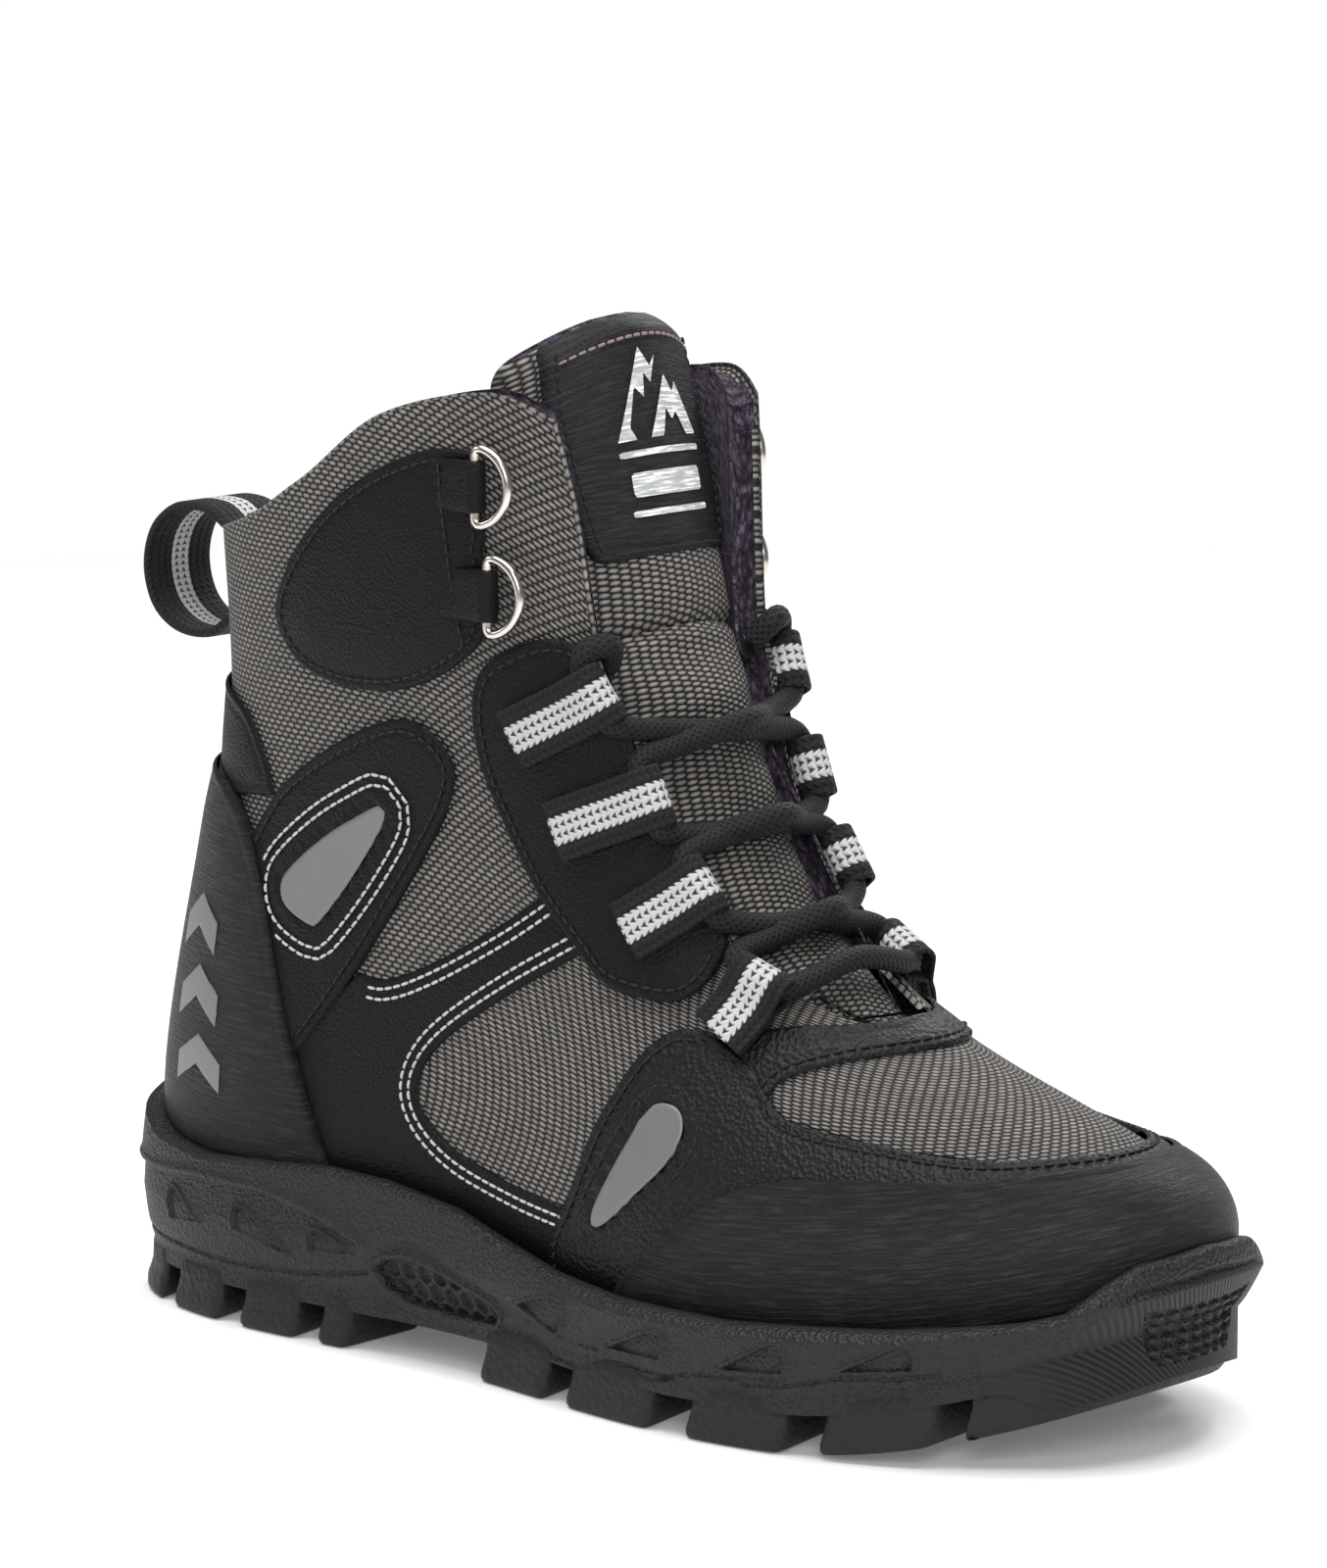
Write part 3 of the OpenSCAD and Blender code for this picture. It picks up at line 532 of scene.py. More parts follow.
def grain_material(name, base, size, depth, rough, streak=0.0, shine=0.13):
    """Synthetic leather: pebbled, and streaked along one way where streak is set, the streaks lightened
    by a painted highlight.
    """
    s = Shader(name, base, rough, Specular_IOR_Level=shine)
    vector = s.node("ShaderNodeTexCoord").outputs["Object"]
    pebble = s.cells(vector, 1000 / size, "SMOOTH_F1", 0.4)
    fine = s.noise(vector, 1900 / size, 3.0, 0.6)
    mottled = s.noise(s.scaled(s.uv(), (22, 22, 1)), 1.0, 4.0)
    s.set("Roughness", s.math("ADD", s.math("MULTIPLY", mottled, 0.16), rough - 0.08))
    s.bump(pebble, depth)
    s.bump(fine, depth * 0.45, 0.7)
    if streak:
        lines = s.noise(s.scaled(s.uv(), (110, 1500, 1)), 1.0, 4.0, 0.7)
        painted_streak_highlight = s.ramp(lines, [(0.48, (0, 0, 0)), (0.66, (1, 1, 1))])
        # painted highlight: the colour is lightened along the streak lines
        s.set("Base Color", s.mix(painted_streak_highlight, base, tuple(c * 3 + 0.006 for c in base)))
        s.bump(lines, streak)
    else:
        lift = tuple(c * 1.5 + 0.001 for c in base)
        s.set("Base Color", s.mix(s.math("MULTIPLY", mottled, 0.55), base, lift))
    return s.material


def rubber_material(name, base, size, depth, rough, hatch=0.0):
    """Moulded rubber: a fine pebble, or slanting hatch lines, with dusty tones."""
    s = Shader(name, base, rough, Specular_IOR_Level=0.3)
    where = s.node("ShaderNodeTexCoord").outputs["Object"]
    dust = s.noise(where, 28.0, 5.0)
    s.set("Base Color", s.mix(s.math("MULTIPLY", dust, 0.6), base,
                              tuple(c * 1.7 + 0.003 for c in base)))
    s.set("Roughness", s.math("ADD", s.math("MULTIPLY", dust, 0.2), rough - 0.1))
    if hatch:
        split = s.node("ShaderNodeSeparateXYZ", {0: where}).outputs
        slant = s.math("ADD", s.math("MULTIPLY", split[1], 1000 / hatch),
                       s.math("MULTIPLY", split[2], 850 / hatch))
        slant = s.math("SUBTRACT", slant, s.math("MULTIPLY", split[0], 700 / hatch))
        lines = s.math("PINGPONG", slant, 1.0)
        s.bump(lines, depth)
    else:
        s.bump(s.cells(where, 1000 / size, "SMOOTH_F1", 0.25), depth)
    return s.material


def braid_material(name, base, light):
    """Round braid: plaits that cross, with a painted highlight along their crowns and painted shade
    between them.
    """
    s = Shader(name, base, 0.66, Sheen_Weight=0.015, Specular_IOR_Level=0.2)
    split = s.node("ShaderNodeSeparateXYZ", {0: s.uv()}).outputs
    turns = s.math("MULTIPLY", split[0], 9.0)
    run = s.math("MULTIPLY", split[1], 560.0)
    left = s.math("SINE", s.math("MULTIPLY", s.math("ADD", turns, run), 2 * math.pi))
    right = s.math("SINE", s.math("MULTIPLY", s.math("SUBTRACT", turns, run), 2 * math.pi))
    plait = s.math("MULTIPLY", s.math("ADD", s.math("MAXIMUM", left, right), 1.0), 0.5)
    strands = s.noise(s.scaled(s.uv(), (60, 3000, 1)), 1.0, 3.0)
    # painted highlight on the plaits' crowns, painted shade where they dip
    s.set("Base Color", s.mix(plait, tuple(c * 0.5 for c in base), light))
    s.bump(plait, 0.0003, 0.8)
    s.bump(strands, 0.00012, 0.6)
    return s.material


def webbing_material(name, stripe):
    """Woven tape: ribs along it, and a pale chain stripe where stripe gives its half width.

    Its own coordinates are millimetres across from the middle and along.
    """
    s = Shader(name, (0.015, 0.015, 0.016), 0.72, Sheen_Weight=0.015, Specular_IOR_Level=0.2)
    split = s.node("ShaderNodeSeparateXYZ", {0: s.scaled(s.uv(), (1000, 1000, 1))}).outputs
    wide = s.math("ABSOLUTE", split[0])
    chevron = s.math("ADD", s.math("MULTIPLY", split[1], 0.62),
                     s.math("MULTIPLY", s.math("PINGPONG", split[0], 1.0), 0.62))
    stitch = s.math("ABSOLUTE", s.math("SUBTRACT", s.math("FRACT", chevron), 0.5))
    rib = s.math("ABSOLUTE", s.math("SUBTRACT", s.math("FRACT",
                 s.math("MULTIPLY", split[0], 0.5)), 0.5))
    thread = s.math("ADD", stitch, rib)
    ground = s.mix(thread, (0.003, 0.003, 0.0033), (0.016, 0.016, 0.017))
    if stripe:
        inside = s.math("LESS_THAN", wide, stripe)
        knit = s.ramp(thread, [(0.25, gray(0.03)), (0.46, gray(0.5))])
        ground = s.mix(inside, ground, knit)
    s.set("Base Color", ground)
    s.bump(thread, 0.0005, 0.9)
    return s.material


def fleece_material(name, base, light):
    """Brushed lining: short loops in loose rows, their pale mauve partly the fibre's tone and partly a
    painted highlight, with painted shade between the tufts.
    """
    s = Shader(name, base, 0.95, Sheen_Weight=0.25, Sheen_Roughness=0.4,
               Sheen_Tint=(0.75, 0.68, 0.85, 1))
    bent = s.scaled(s.uv(), (330, 720, 1), 0.5)
    loops = s.noise(bent, 1.0, 4.0, 0.7)
    tufts = s.cells(bent, 1.3)
    # the loops' pale mauve: partly the fibre's own tone, partly a painted highlight
    mottled = s.mix(s.ramp(loops, [(0.42, (0, 0, 0)), (0.62, (1, 1, 1))]), base, light)
    # painted shade: the colour goes dark between the tufts
    s.set("Base Color", s.mix(s.ramp(tufts, [(0.25, (0, 0, 0)), (0.75, (1, 1, 1))]), mottled, base))
    s.bump(loops, 0.0020, 1.0)
    s.bump(tufts, 0.0014, 0.9)
    return s.material


def thread_material(name, base):
    """Sewing thread with a fine twist."""
    s = Shader(name, base, 0.6, Sheen_Weight=0.03, Specular_IOR_Level=0.3)
    where = s.node("ShaderNodeTexCoord").outputs["Object"]
    twist = s.noise(where, 4200.0, 2.0)
    s.set("Base Color", s.mix(twist, tuple(c * 0.55 for c in base), base))
    s.bump(twist, 0.00008)
    return s.material


def film_material(name, base):
    """Reflective film: satin grey with a faint bead texture."""
    s = Shader(name, base, 0.42, Metallic=0.25, Coat_Weight=0.15, Coat_Roughness=0.35)
    beads = s.cells(s.uv(), 3600.0)
    cloud = s.noise(s.uv(), 130.0, 3.0)
    s.set("Base Color", s.mix(s.math("MULTIPLY", cloud, 0.3), base, gray(0.2)))
    s.bump(beads, 0.00006, 0.5)
    return s.material


def metal_material(name, base, rough):
    """Polished metal with faint scuffs."""
    s = Shader(name, base, rough, Metallic=1.0)
    where = s.node("ShaderNodeTexCoord").outputs["Object"]
    scuff = s.noise(where, 900.0, 4.0)
    s.set("Roughness", s.math("ADD", s.math("MULTIPLY", scuff, 0.2), rough - 0.08))
    s.bump(scuff, 0.00003, 0.6)
    return s.material


def speckled_material(name, base, light, scale, rough=0.85, depth=0.0002):
    """Board, foam and moulded sheet of the hidden parts."""
    s = Shader(name, base, rough)
    where = s.node("ShaderNodeTexCoord").outputs["Object"]
    speck = s.noise(where, scale, 4.0)
    s.set("Base Color", s.mix(speck, base, light))
    s.bump(speck, depth)
    return s.material


WEAVE = weave_material("woven_nylon", gray(0.27, 0.08), gray(0.006, 0.08))
SMOOTH = grain_material("smooth_synthetic", (0.0052, 0.0052, 0.0058), 0.7, 0.00022, 0.48)
GRAIN = grain_material("grained_synthetic", (0.005, 0.005, 0.0055), 1.0, 0.0004, 0.44, shine=0.22)
STREAK = grain_material("streaked_synthetic", (0.007, 0.007, 0.0076), 0.6, 0.00014, 0.46,
                        streak=0.0009, shine=0.2)
FLEECE = fleece_material("fleece", (0.006, 0.004, 0.008), (0.19, 0.13, 0.22))
FILM = film_material("reflective_film", gray(0.15, -0.02))
BLACK_THREAD = thread_material("black_thread", (0.012, 0.012, 0.013))
WHITE_THREAD = thread_material("white_thread", gray(0.62))
MAUVE_THREAD = thread_material("mauve_thread", (0.30, 0.22, 0.28))
LACE = braid_material("lace_braid", (0.002, 0.002, 0.0022), (0.014, 0.014, 0.015))
TAPE = webbing_material("webbing", 0)
STRIPED_TAPE = webbing_material("striped_webbing", 3.0)
PULL_TAPE = webbing_material("pull_webbing", 2.6)
TONGUE_WEAVE = weave_material("tongue_weave", gray(0.28, 0.08), gray(0.006, 0.08), turn=0.5)
LABEL = grain_material("label_synthetic", (0.007, 0.007, 0.0076), 0.6, 0.00014, 0.46,
                       streak=0.0007, shine=0.2)
RUBBER = rubber_material("sole_rubber", (0.009, 0.0092, 0.0105), 0.85, 0.00045, 0.52)
TREAD_RUBBER = rubber_material("tread_rubber", (0.009, 0.0092, 0.0102), 1.5, 0.0003, 0.58)
HATCH_RUBBER = rubber_material("hatched_rubber", (0.010, 0.0102, 0.0115), 0.9, 0.0004, 0.56,
                               hatch=0.62)
PRINT = grain_material("pale_print", gray(0.42, -0.02), 0.5, 0.00005, 0.6, streak=0.00018)
RING_METAL = metal_material("ring_metal", (0.62, 0.585, 0.545), 0.2)
AGLET = speckled_material("aglet_plastic", (0.01, 0.01, 0.011), (0.02, 0.02, 0.021), 900.0, 0.3, 0.00002)


# ------------------------------------------------------------------ camera, light and floor

CAMERA_AIM = (138.73, 0, 123.06)
CAMERA_TURN = 40.59     # degrees to the front of the lateral side
CAMERA_RISE = 9.35      # degrees
CAMERA_AWAY = 1.5       # metres
CAMERA_LENS = 195.39


def studio():
    """Camera, soft lights, white surroundings and floor."""
    scene = bpy.context.scene
    scene.view_settings.view_transform = "Standard"
    aim = Vector(place(CAMERA_AIM).tolist())
    turn, rise = math.radians(CAMERA_TURN), math.radians(CAMERA_RISE)
    away = Vector((math.sin(turn) * math.cos(rise), -math.cos(turn) * math.cos(rise),
                   math.sin(rise)))
    camera = bpy.data.objects.new("camera", bpy.data.cameras.new("camera"))
    scene.collection.objects.link(camera)
    camera.location = aim + CAMERA_AWAY * away
    camera.rotation_euler = away.to_track_quat("Z", "Y").to_euler()
    camera.data.lens = CAMERA_LENS
    camera.data.sensor_width = 36
    camera.data.sensor_fit = "HORIZONTAL"
    camera.data.clip_start = 0.05
    scene.camera = camera

    def light(name, at, power, width, height):
        data = bpy.data.lights.new(name, "AREA")
        data.shape = "RECTANGLE"
        data.size = width
        data.size_y = height
        data.energy = power
        made = bpy.data.objects.new(name, data)
        scene.collection.objects.link(made)
        made.location = at
        made.rotation_euler = (Vector(at) - Vector((0, 0, 0.1))).to_track_quat(
            "Z", "Y").to_euler()

    light("overhead", (0.1, -0.2, 1.5), 30, 1.5, 1.2)
    light("front", (1.0, -1.1, 0.8), 10, 0.7, 0.7)
    light("side", (-1.0, -0.9, 0.8), 2.5, 0.6, 0.6)
    light("behind", (-0.3, 1.2, 1.0), 10, 0.9, 0.7)
    world = bpy.data.worlds.new("studio")
    scene.world = world
    world.use_nodes = True
    tree = world.node_tree
    sky = tree.nodes["Background"]
    sky.inputs[0].default_value = (1, 1, 1, 1)
    sky.inputs[1].default_value = 0.2
    bright = tree.nodes.new("ShaderNodeBackground")
    bright.inputs[0].default_value = (1, 1, 1, 1)
    bright.inputs[1].default_value = 1.0
    seen = tree.nodes.new("ShaderNodeLightPath").outputs["Is Camera Ray"]
    share = tree.nodes.new("ShaderNodeMixShader")
    tree.links.new(seen, share.inputs[0])
    tree.links.new(sky.outputs[0], share.inputs[1])
    tree.links.new(bright.outputs[0], share.inputs[2])
    tree.links.new(share.outputs[0], tree.nodes["World Output"].inputs[0])
    floor = bpy.data.meshes.new("floor")
    r = 1.3
    floor.from_pydata([(r * math.cos(a * math.pi / 48), r * math.sin(a * math.pi / 48), 0)
                       for a in range(96)], [], [tuple(range(96))])
    made = bpy.data.objects.new("floor", floor)
    scene.collection.objects.link(made)
    white = Shader("floor_white", (0.93, 0.93, 0.93), 0.9, Emission_Strength=0.13)
    white.set("Specular IOR Level", 0.1)
    white.set("Emission Color", (1, 1, 1, 1))
    floor.materials.append(white.material)


studio()


# ------------------------------------------------------------------ sweeps

def tangents(path, closed=False):
    """Direction of a path at each of its places."""
    p = np.asarray(path, float)
    if closed:
        return unit(np.roll(p, -1, 0) - np.roll(p, 1, 0))
    q = np.vstack([p[:1], p, p[-1:]])
    return unit(q[2:] - q[:-2])


def carried(dirs, first):
    """Directions square to a path, carried along it without twisting."""
    out = []
    n = np.asarray(first, float)
    for t in dirs:
        n = unit(n - t * np.dot(n, t))
        out.append(n)
    return np.array(out)


def sweep(name, path, section, across, material, body=BODY, closed=False,
          turns_uv=False, scale=None):
    """Section of (side, up) places carried along a path; across is its side direction.

    Its own coordinates are metres round the section, or turns, by metres along.
    """
    p = np.asarray(path, float)
    dirs = tangents(p, closed)
    side = np.broadcast_to(np.asarray(across, float), p.shape)
    if not closed and np.asarray(across).ndim == 1:
        side = carried(dirs, across)
    side = unit(side - dirs * np.sum(dirs * side, 1)[:, None])
    up = np.cross(side, dirs)
    sec = np.asarray(section, float)
    n, m = len(p), len(sec)
    grow = np.ones(n) if scale is None else np.asarray(scale, float)
    points = (p[:, None] + grow[:, None, None] * (sec[None, :, 0, None] * side[:, None]
              + sec[None, :, 1, None] * up[:, None])).reshape(-1, 3)
    run = run_along(p)
    if closed:
        run = np.append(run, run[-1] + np.linalg.norm(p[0] - p[-1]))
    round_ = np.concatenate([[0], np.cumsum(np.linalg.norm(
        np.roll(sec, -1, 0) - sec, axis=1))])
    wide = np.arange(m + 1) / m if turns_uv else round_ / 1000
    faces, corner = [], []
    for i in range(n if closed else n - 1):
        for k in range(m):
            faces.append((i * m + k, i * m + (k + 1) % m, (i + 1) % n * m + (k + 1) % m,
                          (i + 1) % n * m + k))
            a, b = wide[k], wide[k + 1]
            corner += [(a, run[i] / 1000), (b, run[i] / 1000),
                       (b, run[i + 1] / 1000), (a, run[i + 1] / 1000)]
    if not closed:
        faces += [tuple(range(m))[::-1], tuple((n - 1) * m + k for k in range(m))]
        corner += [(0, 0)] * (2 * m)
    return new_piece(name, points, faces, material, corner_uv=corner, body=body)


def circle(d, sides):
    """Round section."""
    a = np.arange(sides) * 2 * math.pi / sides
    return np.stack([d / 2 * np.cos(a), -d / 2 * np.sin(a)], 1)


def tape_section(width, thick):
    """Section of a woven tape with soft edges, starting at the middle of its face."""
    w, t = width / 2, thick / 2
    half = [(0, t), (w * 0.5, t), (w - t, t), (w - 0.3 * t, 0.7 * t), (w, 0),
            (w - 0.3 * t, -0.7 * t), (w - t, -t), (w * 0.5, -t), (0, -t)]
    return np.array(half + [(-x, y) for x, y in half[-2:0:-1]])


def tape(name, path, across, width, thick, material, body=BODY):
    """Webbing whose own coordinates are metres across from its middle, and along."""
    sec = tape_section(width, thick)
    obj = sweep(name, path, sec, across, material, body)
    layer = obj.data.uv_layers["length"].data
    m = len(sec)
    for face in obj.data.polygons:
        for corner in face.loop_indices:
            vertex = obj.data.loops[corner].vertex_index
            layer[corner].uv = (sec[vertex % m][0] / 1000, layer[corner].uv[1])
    return obj


# ------------------------------------------------------------------ the lace's loose ends

TAIL = [(142, -22.6, 149.6), (137, -22, 145), (129, -20.5, 134), (124.5, -18.5, 110),
        (122, -17, 80), (119, -17, 50), (110, -17, 34.5), (90, -17, 33.2), (60, -17, 34.4),
        (42, -16, 35), (34, -11, 35.2), (41, -5.5, 35), (60, -5, 34.4), (80, -5, 33.8),
        (100, -5, 32)]
AGLET_END = (122, -5, 29.8)
LACE_ACROSS = (0.31, 0.22, 0.93)


def lace_tail(side, mirror):
    """Loose end of the lace inside the boot, with its aglet."""
    path = curve(TAIL, 240) * (1, mirror, 1)
    obj = sweep(f"lace_tail_{side}", path, circle(LACE_D, 12), LACE_ACROSS, LACE,
                turns_uv=True)
    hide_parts(f"lace_tail_{side}")
    start, end = np.array(TAIL[-1], float), np.array(AGLET_END, float)
    along = (end - start) * (1, mirror, 1)
    start = start * (1, mirror, 1)
    steps = [(0.02, 1.0), (0.06, 1.04), (0.12, 0.98), (0.5, 0.97), (0.93, 0.95),
             (0.98, 0.86), (0.997, 0.6)]
    aglet = sweep(f"aglet_{side}", [start + along * t for t, _ in steps], circle(3.6, 16),
                  (0, 1, 0), AGLET, turns_uv=True, scale=[s for _, s in steps])
    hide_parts(f"aglet_{side}")


lace_tail("lateral", 1)
lace_tail("medial", -1)


# ------------------------------------------------------------------ seams

def stitches(name, lines, material, body=BODY, pitch=2.7, length=2.1, radius=0.33):
    """Rows of stitches. Each line is (points, normals) in millimetres."""
    points, faces = [], []
    sides = 6
    for p, normal in lines:
        run = run_along(p)
        count = int(run[-1] // pitch)
        if count < 1:
            continue
        for mid in (np.arange(count) + 0.5) * run[-1] / count:
            at = [np.array([np.interp(mid + d, run, p[:, k]) for k in range(3)])
                  for d in (-0.5 * length, 0, 0.5 * length)]
            n = unit(np.array([np.interp(mid, run, normal[:, k]) for k in range(3)]))
            t = unit(at[2] - at[0])
            b = np.cross(n, t)
            half = 0.5 * length
            base = len(points)
            for s, r, up in ((-1.0, 0.45, -0.45), (-0.72, 0.92, -0.05), (0.0, 1.0, 0.08),
                             (0.72, 0.92, -0.05), (1.0, 0.45, -0.45)):
                centre = at[1] + t * (s * half) + n * (up * radius * 1.6)
                for k in range(sides):
                    a = 2 * math.pi * k / sides
                    points.append(centre + radius * r * (math.cos(a) * b + math.sin(a) * n))
            for i in range(4):
                for k in range(sides):
                    a0 = base + i * sides + k
                    a1 = base + i * sides + (k + 1) % sides
                    faces.append((a0, a0 + sides, a1 + sides, a1))
            faces.append(tuple(base + k for k in range(sides)))
            faces.append(tuple(base + 4 * sides + k for k in range(sides))[::-1])
    return new_piece(name, np.array(points), faces, material, body=body)


def on_form(uv, h):
    """A (u, v) line as points at a height, with the form's normals."""
    du, dv = slopes(uv[:, 0], uv[:, 1])
    n = unit(np.cross(du, dv))
    return skin(uv[:, 0], uv[:, 1]) + h * n, n


def seam_lines(runs, h, medial=False, keep=None):
    """Stitch lines inside a panel's outline, broken where keep says no."""
    edge = turned(outline_of(runs))
    if medial:
        edge = turned(other_side(edge))
    rim = skin(edge[:, 0], edge[:, 1])
    line = inward(edge, SEAM_IN)
    ok = nearest(skin(line[:, 0], line[:, 1]), rim) > 0.9 * SEAM_IN
    if keep is not None:
        side = other_side(line) if medial else line
        ok &= np.array([bool(keep(u, v)) for u, v in side])
    return split_lines(line, ok, h)


def split_lines(line, ok, h):
    """The stretches of a closed (u, v) line where ok holds, as stitch lines."""
    n = len(line)
    out = []
    if ok.all():
        p, normal = on_form(np.vstack([line, line[:1]]), h)
        return [(p, normal)]
    first = int(np.argmin(ok))
    order = [(first + k) % n for k in range(n)]
    part = []
    for k in order + [first]:
        if ok[k]:
            part.append(line[k])
            continue
        if len(part) > 3:
            out.append(on_form(np.array(part), h))
        part = []
    return out


# ------------------------------------------------------------------ upper, base layers

def inside_shape(x, z, corners):
    """Whether each (x, z) lies in a polygon."""
    p = np.array(corners, float)
    q = np.roll(p, -1, 0)
    hit = np.zeros(np.shape(x), bool)
    for (ax, az), (bx, bz) in zip(p, q):
        cross = (az > z) != (bz > z)
        at = ax + (z - az) * (bx - ax) / (bz - az if bz != az else 1e-9)
        hit ^= cross & (x < at)
    return hit


FEATHER = 0.3
COLLAR = [(0, 6.85), (1.8, 7.13), (2.65, 7.57), (3.5, 8.2), (4.6, 8.36), (5.4, 8.12)]
COLLAR_FRONT = [(5.4, 8.12), (5.65, 7.4), (5.84, 6.4)]
THROAT_SIDE = [(5.84, 6.4), (6.06, 6.05), (6.28, 5.5), (6.45, 5.0), (6.6, 4.4)]
THROAT_FRONT = [(6.6, 4.4), (7.3, 4.15), (8, 4.08)]
# The vamp's fabric meets the quarter's under the side overlay and the eyestay
JOIN = [(3.25, FEATHER), (3.2, 1.5), (3.35, 2.3), (3.95, 3.1), (4.7, 3.85), (5.3, 4.35),
        (5.9, 4.5), (6.6, 4.4)]
SIDES = (("lateral", False), ("medial", True))


def mirrored(run):
    """The same run on the other side of the boot."""
    return [(16 - u, v) for u, v in run]


for side, medial in SIDES:
    quarter = panel(f"quarter_fabric_{side}", [
        [(0, FEATHER), (1, FEATHER), (2.2, FEATHER), (3.25, FEATHER)], JOIN,
        THROAT_SIDE[::-1], COLLAR_FRONT[::-1], COLLAR[::-1], [(0, 6.85), (0, FEATHER)]],
        WEAVE, FABRIC, medial=medial, start=12 if medial else 4, round_r=0.4, groove=0)
    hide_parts(f"quarter_{side}")

vamp = panel("vamp_fabric", [
    [(3.25, FEATHER), (5, FEATHER), (8, FEATHER), (11, FEATHER), (12.75, FEATHER)],
    mirrored(JOIN), mirrored(THROAT_FRONT), THROAT_FRONT[::-1], JOIN[::-1]],
    WEAVE, FABRIC - 0.05, start=8, round_r=0.4, groove=0)
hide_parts("vamp")


def heel_relief(u, v):
    """The padding is thinner low round the heel, so the lining lies closer to the form."""
    return -3.6 * smoothstep(4.6, 5.4, np.abs(8 - u)) * (1 - smoothstep(5.8, 6.8, v))


lining = panel("fleece_lining", [
    [(0, FEATHER), (2, FEATHER), (4, FEATHER), (6, FEATHER), (8, FEATHER), (10, FEATHER),
     (12, FEATHER), (14, FEATHER), (16, FEATHER)], [(16, FEATHER), (16, 6.85)],
    mirrored(COLLAR), mirrored(COLLAR_FRONT), mirrored(THROAT_SIDE),
    mirrored(THROAT_FRONT), THROAT_FRONT[::-1], THROAT_SIDE[::-1], COLLAR_FRONT[::-1],
    COLLAR[::-1], [(0, 6.85), (0, FEATHER)]], FLEECE, LINING, thick=0.6, start=8,
    round_r=0.1, groove=0, under=True, relief=heel_relief)
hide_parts("quarter_lining", "vamp_lining")


def edge_roll():
    """Rolled edge that joins the fabric to the lining round the collar and throat."""
    half = [curve(COLLAR, 90)[:-1], curve(COLLAR_FRONT, 40)[:-1], curve(THROAT_SIDE, 50)]
    lateral = even_uv(np.vstack(half), 1.5)
    line = np.vstack([other_side(lateral)[::-1][:-1], lateral])
    line[:len(lateral) - 1, 0] -= 16
    u, v = line[:, 0], line[:, 1]
    du, dv = slopes(u, v)
    normal = unit(np.cross(du, dv))
    ahead = tangents(skin(u, v))
    out = -np.cross(normal, ahead)
    outer = off_skin(u, v, np.full(len(u), FABRIC + 0.1))
    inner = off_skin(u, v, np.full(len(u), LINING - 0.3))
    # Down the front edges more of the fleece shows
    front = smoothstep(4.7, 5.3, from_heel(u))
    bulge = 2.6 + 1.5 * front
    ends = np.minimum(np.arange(len(u)), len(u) - 1 - np.arange(len(u)))
    bulge = bulge * smoothstep(-1, 5, ends)
    rows = []
    sides = 12
    for k in range(sides + 1):
        a = math.pi * k / sides
        mid, arm = (outer + inner) / 2, (outer - inner) / 2
        rows.append(mid + math.cos(a) * arm + (math.sin(a) * bulge)[:, None] * out)
    points = np.stack(rows, 1).reshape(-1, 3)
    faces = grid_faces(len(u), sides + 1)
    run = run_along(skin(u, v)) / 1000
    uv = np.stack(np.broadcast_arrays(run[:, None], 0.0009 * np.arange(sides + 1)[None]),
                  -1).reshape(-1, 2)
    obj = new_piece("collar_roll", points, faces, [WEAVE, FLEECE], uv)
    kinds = np.tile([0 if k < 4 else 1 for k in range(sides)], len(u) - 1)
    at_front = np.repeat(front[:-1] > 0.5, sides) & (np.tile(np.arange(sides), len(u) - 1) > 1)
    kinds[at_front] = 1
    obj.data.polygons.foreach_set("material_index", kinds.astype(np.int32))
    return obj


roll = edge_roll()
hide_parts("collar_foam")


# ------------------------------------------------------------------ upper, overlays

LOW = 0.38
HEEL_FRONT = [(3.0, LOW), (2.88, 1.07), (2.74, 1.7), (2.59, 2.3), (2.42, 2.99),
              (2.21, 3.67), (1.88, 4.17), (1.24, 4.47), (0, 4.6)]
TOE_TOP = [(4.95, LOW), (4.95, 0.75), (5.36, 1.73), (5.7, 2.16), (6.16, 2.33), (6.8, 2.27),
           (8, 2.24)]
GUARD_TOP = [(4.46, LOW), (4.48, 0.89), (4.59, 1.41), (4.79, 2.25), (5.13, 2.96),
             (5.49, 3.4), (5.78, 3.51), (5.96, 3.32), (6.0, 2.94), (6.13, 2.83),
             (6.49, 2.71), (6.93, 2.53), (7.52, 2.46), (8, 2.44)]
GUARD_LOW = [(4.46, LOW), (5.1, LOW), (5.35, 1.1), (5.75, 1.75), (6.3, 1.95), (8, 1.9)]
YOKE_FRONT = [(5.9, 2.95), (6.17, 3.29), (6.75, 3.63), (7.36, 3.83), (8, 3.9)]
YOKE_BACK = [(5.9, 3.55), (6.3, 3.78), (6.75, 3.98), (7.37, 4.16), (8, 4.24)]
WINDOW_LOW = [(4.65, 1.35), (4.25, 1.36), (3.84, 1.47), (3.6, 1.74), (3.57, 2.08),
              (3.78, 2.53), (4.33, 3.18), (5.06, 3.88), (5.72, 4.46)]
WINDOW_HIGH = [(5.29, 4.66), (4.83, 4.25), (4.23, 3.66), (3.65, 3.11), (3.31, 2.86),
               (3.1, 2.86)]
REAR_OUTER = [(2.2, 4.1), (2.42, 4.45), (2.86, 4.86), (3.3, 5.17), (3.64, 5.3),
              (3.92, 5.21), (4.06, 4.98), (3.98, 4.65), (3.71, 4.12), (3.39, 3.5),
              (3.12, 2.93), (2.91, 2.48), (2.7, 2.06), (2.5, 1.75)]
REAR_INNER = [(2.5, 1.75), (2.4, 2.4), (2.2, 3.2), (2.05, 3.7), (2.2, 4.1)]
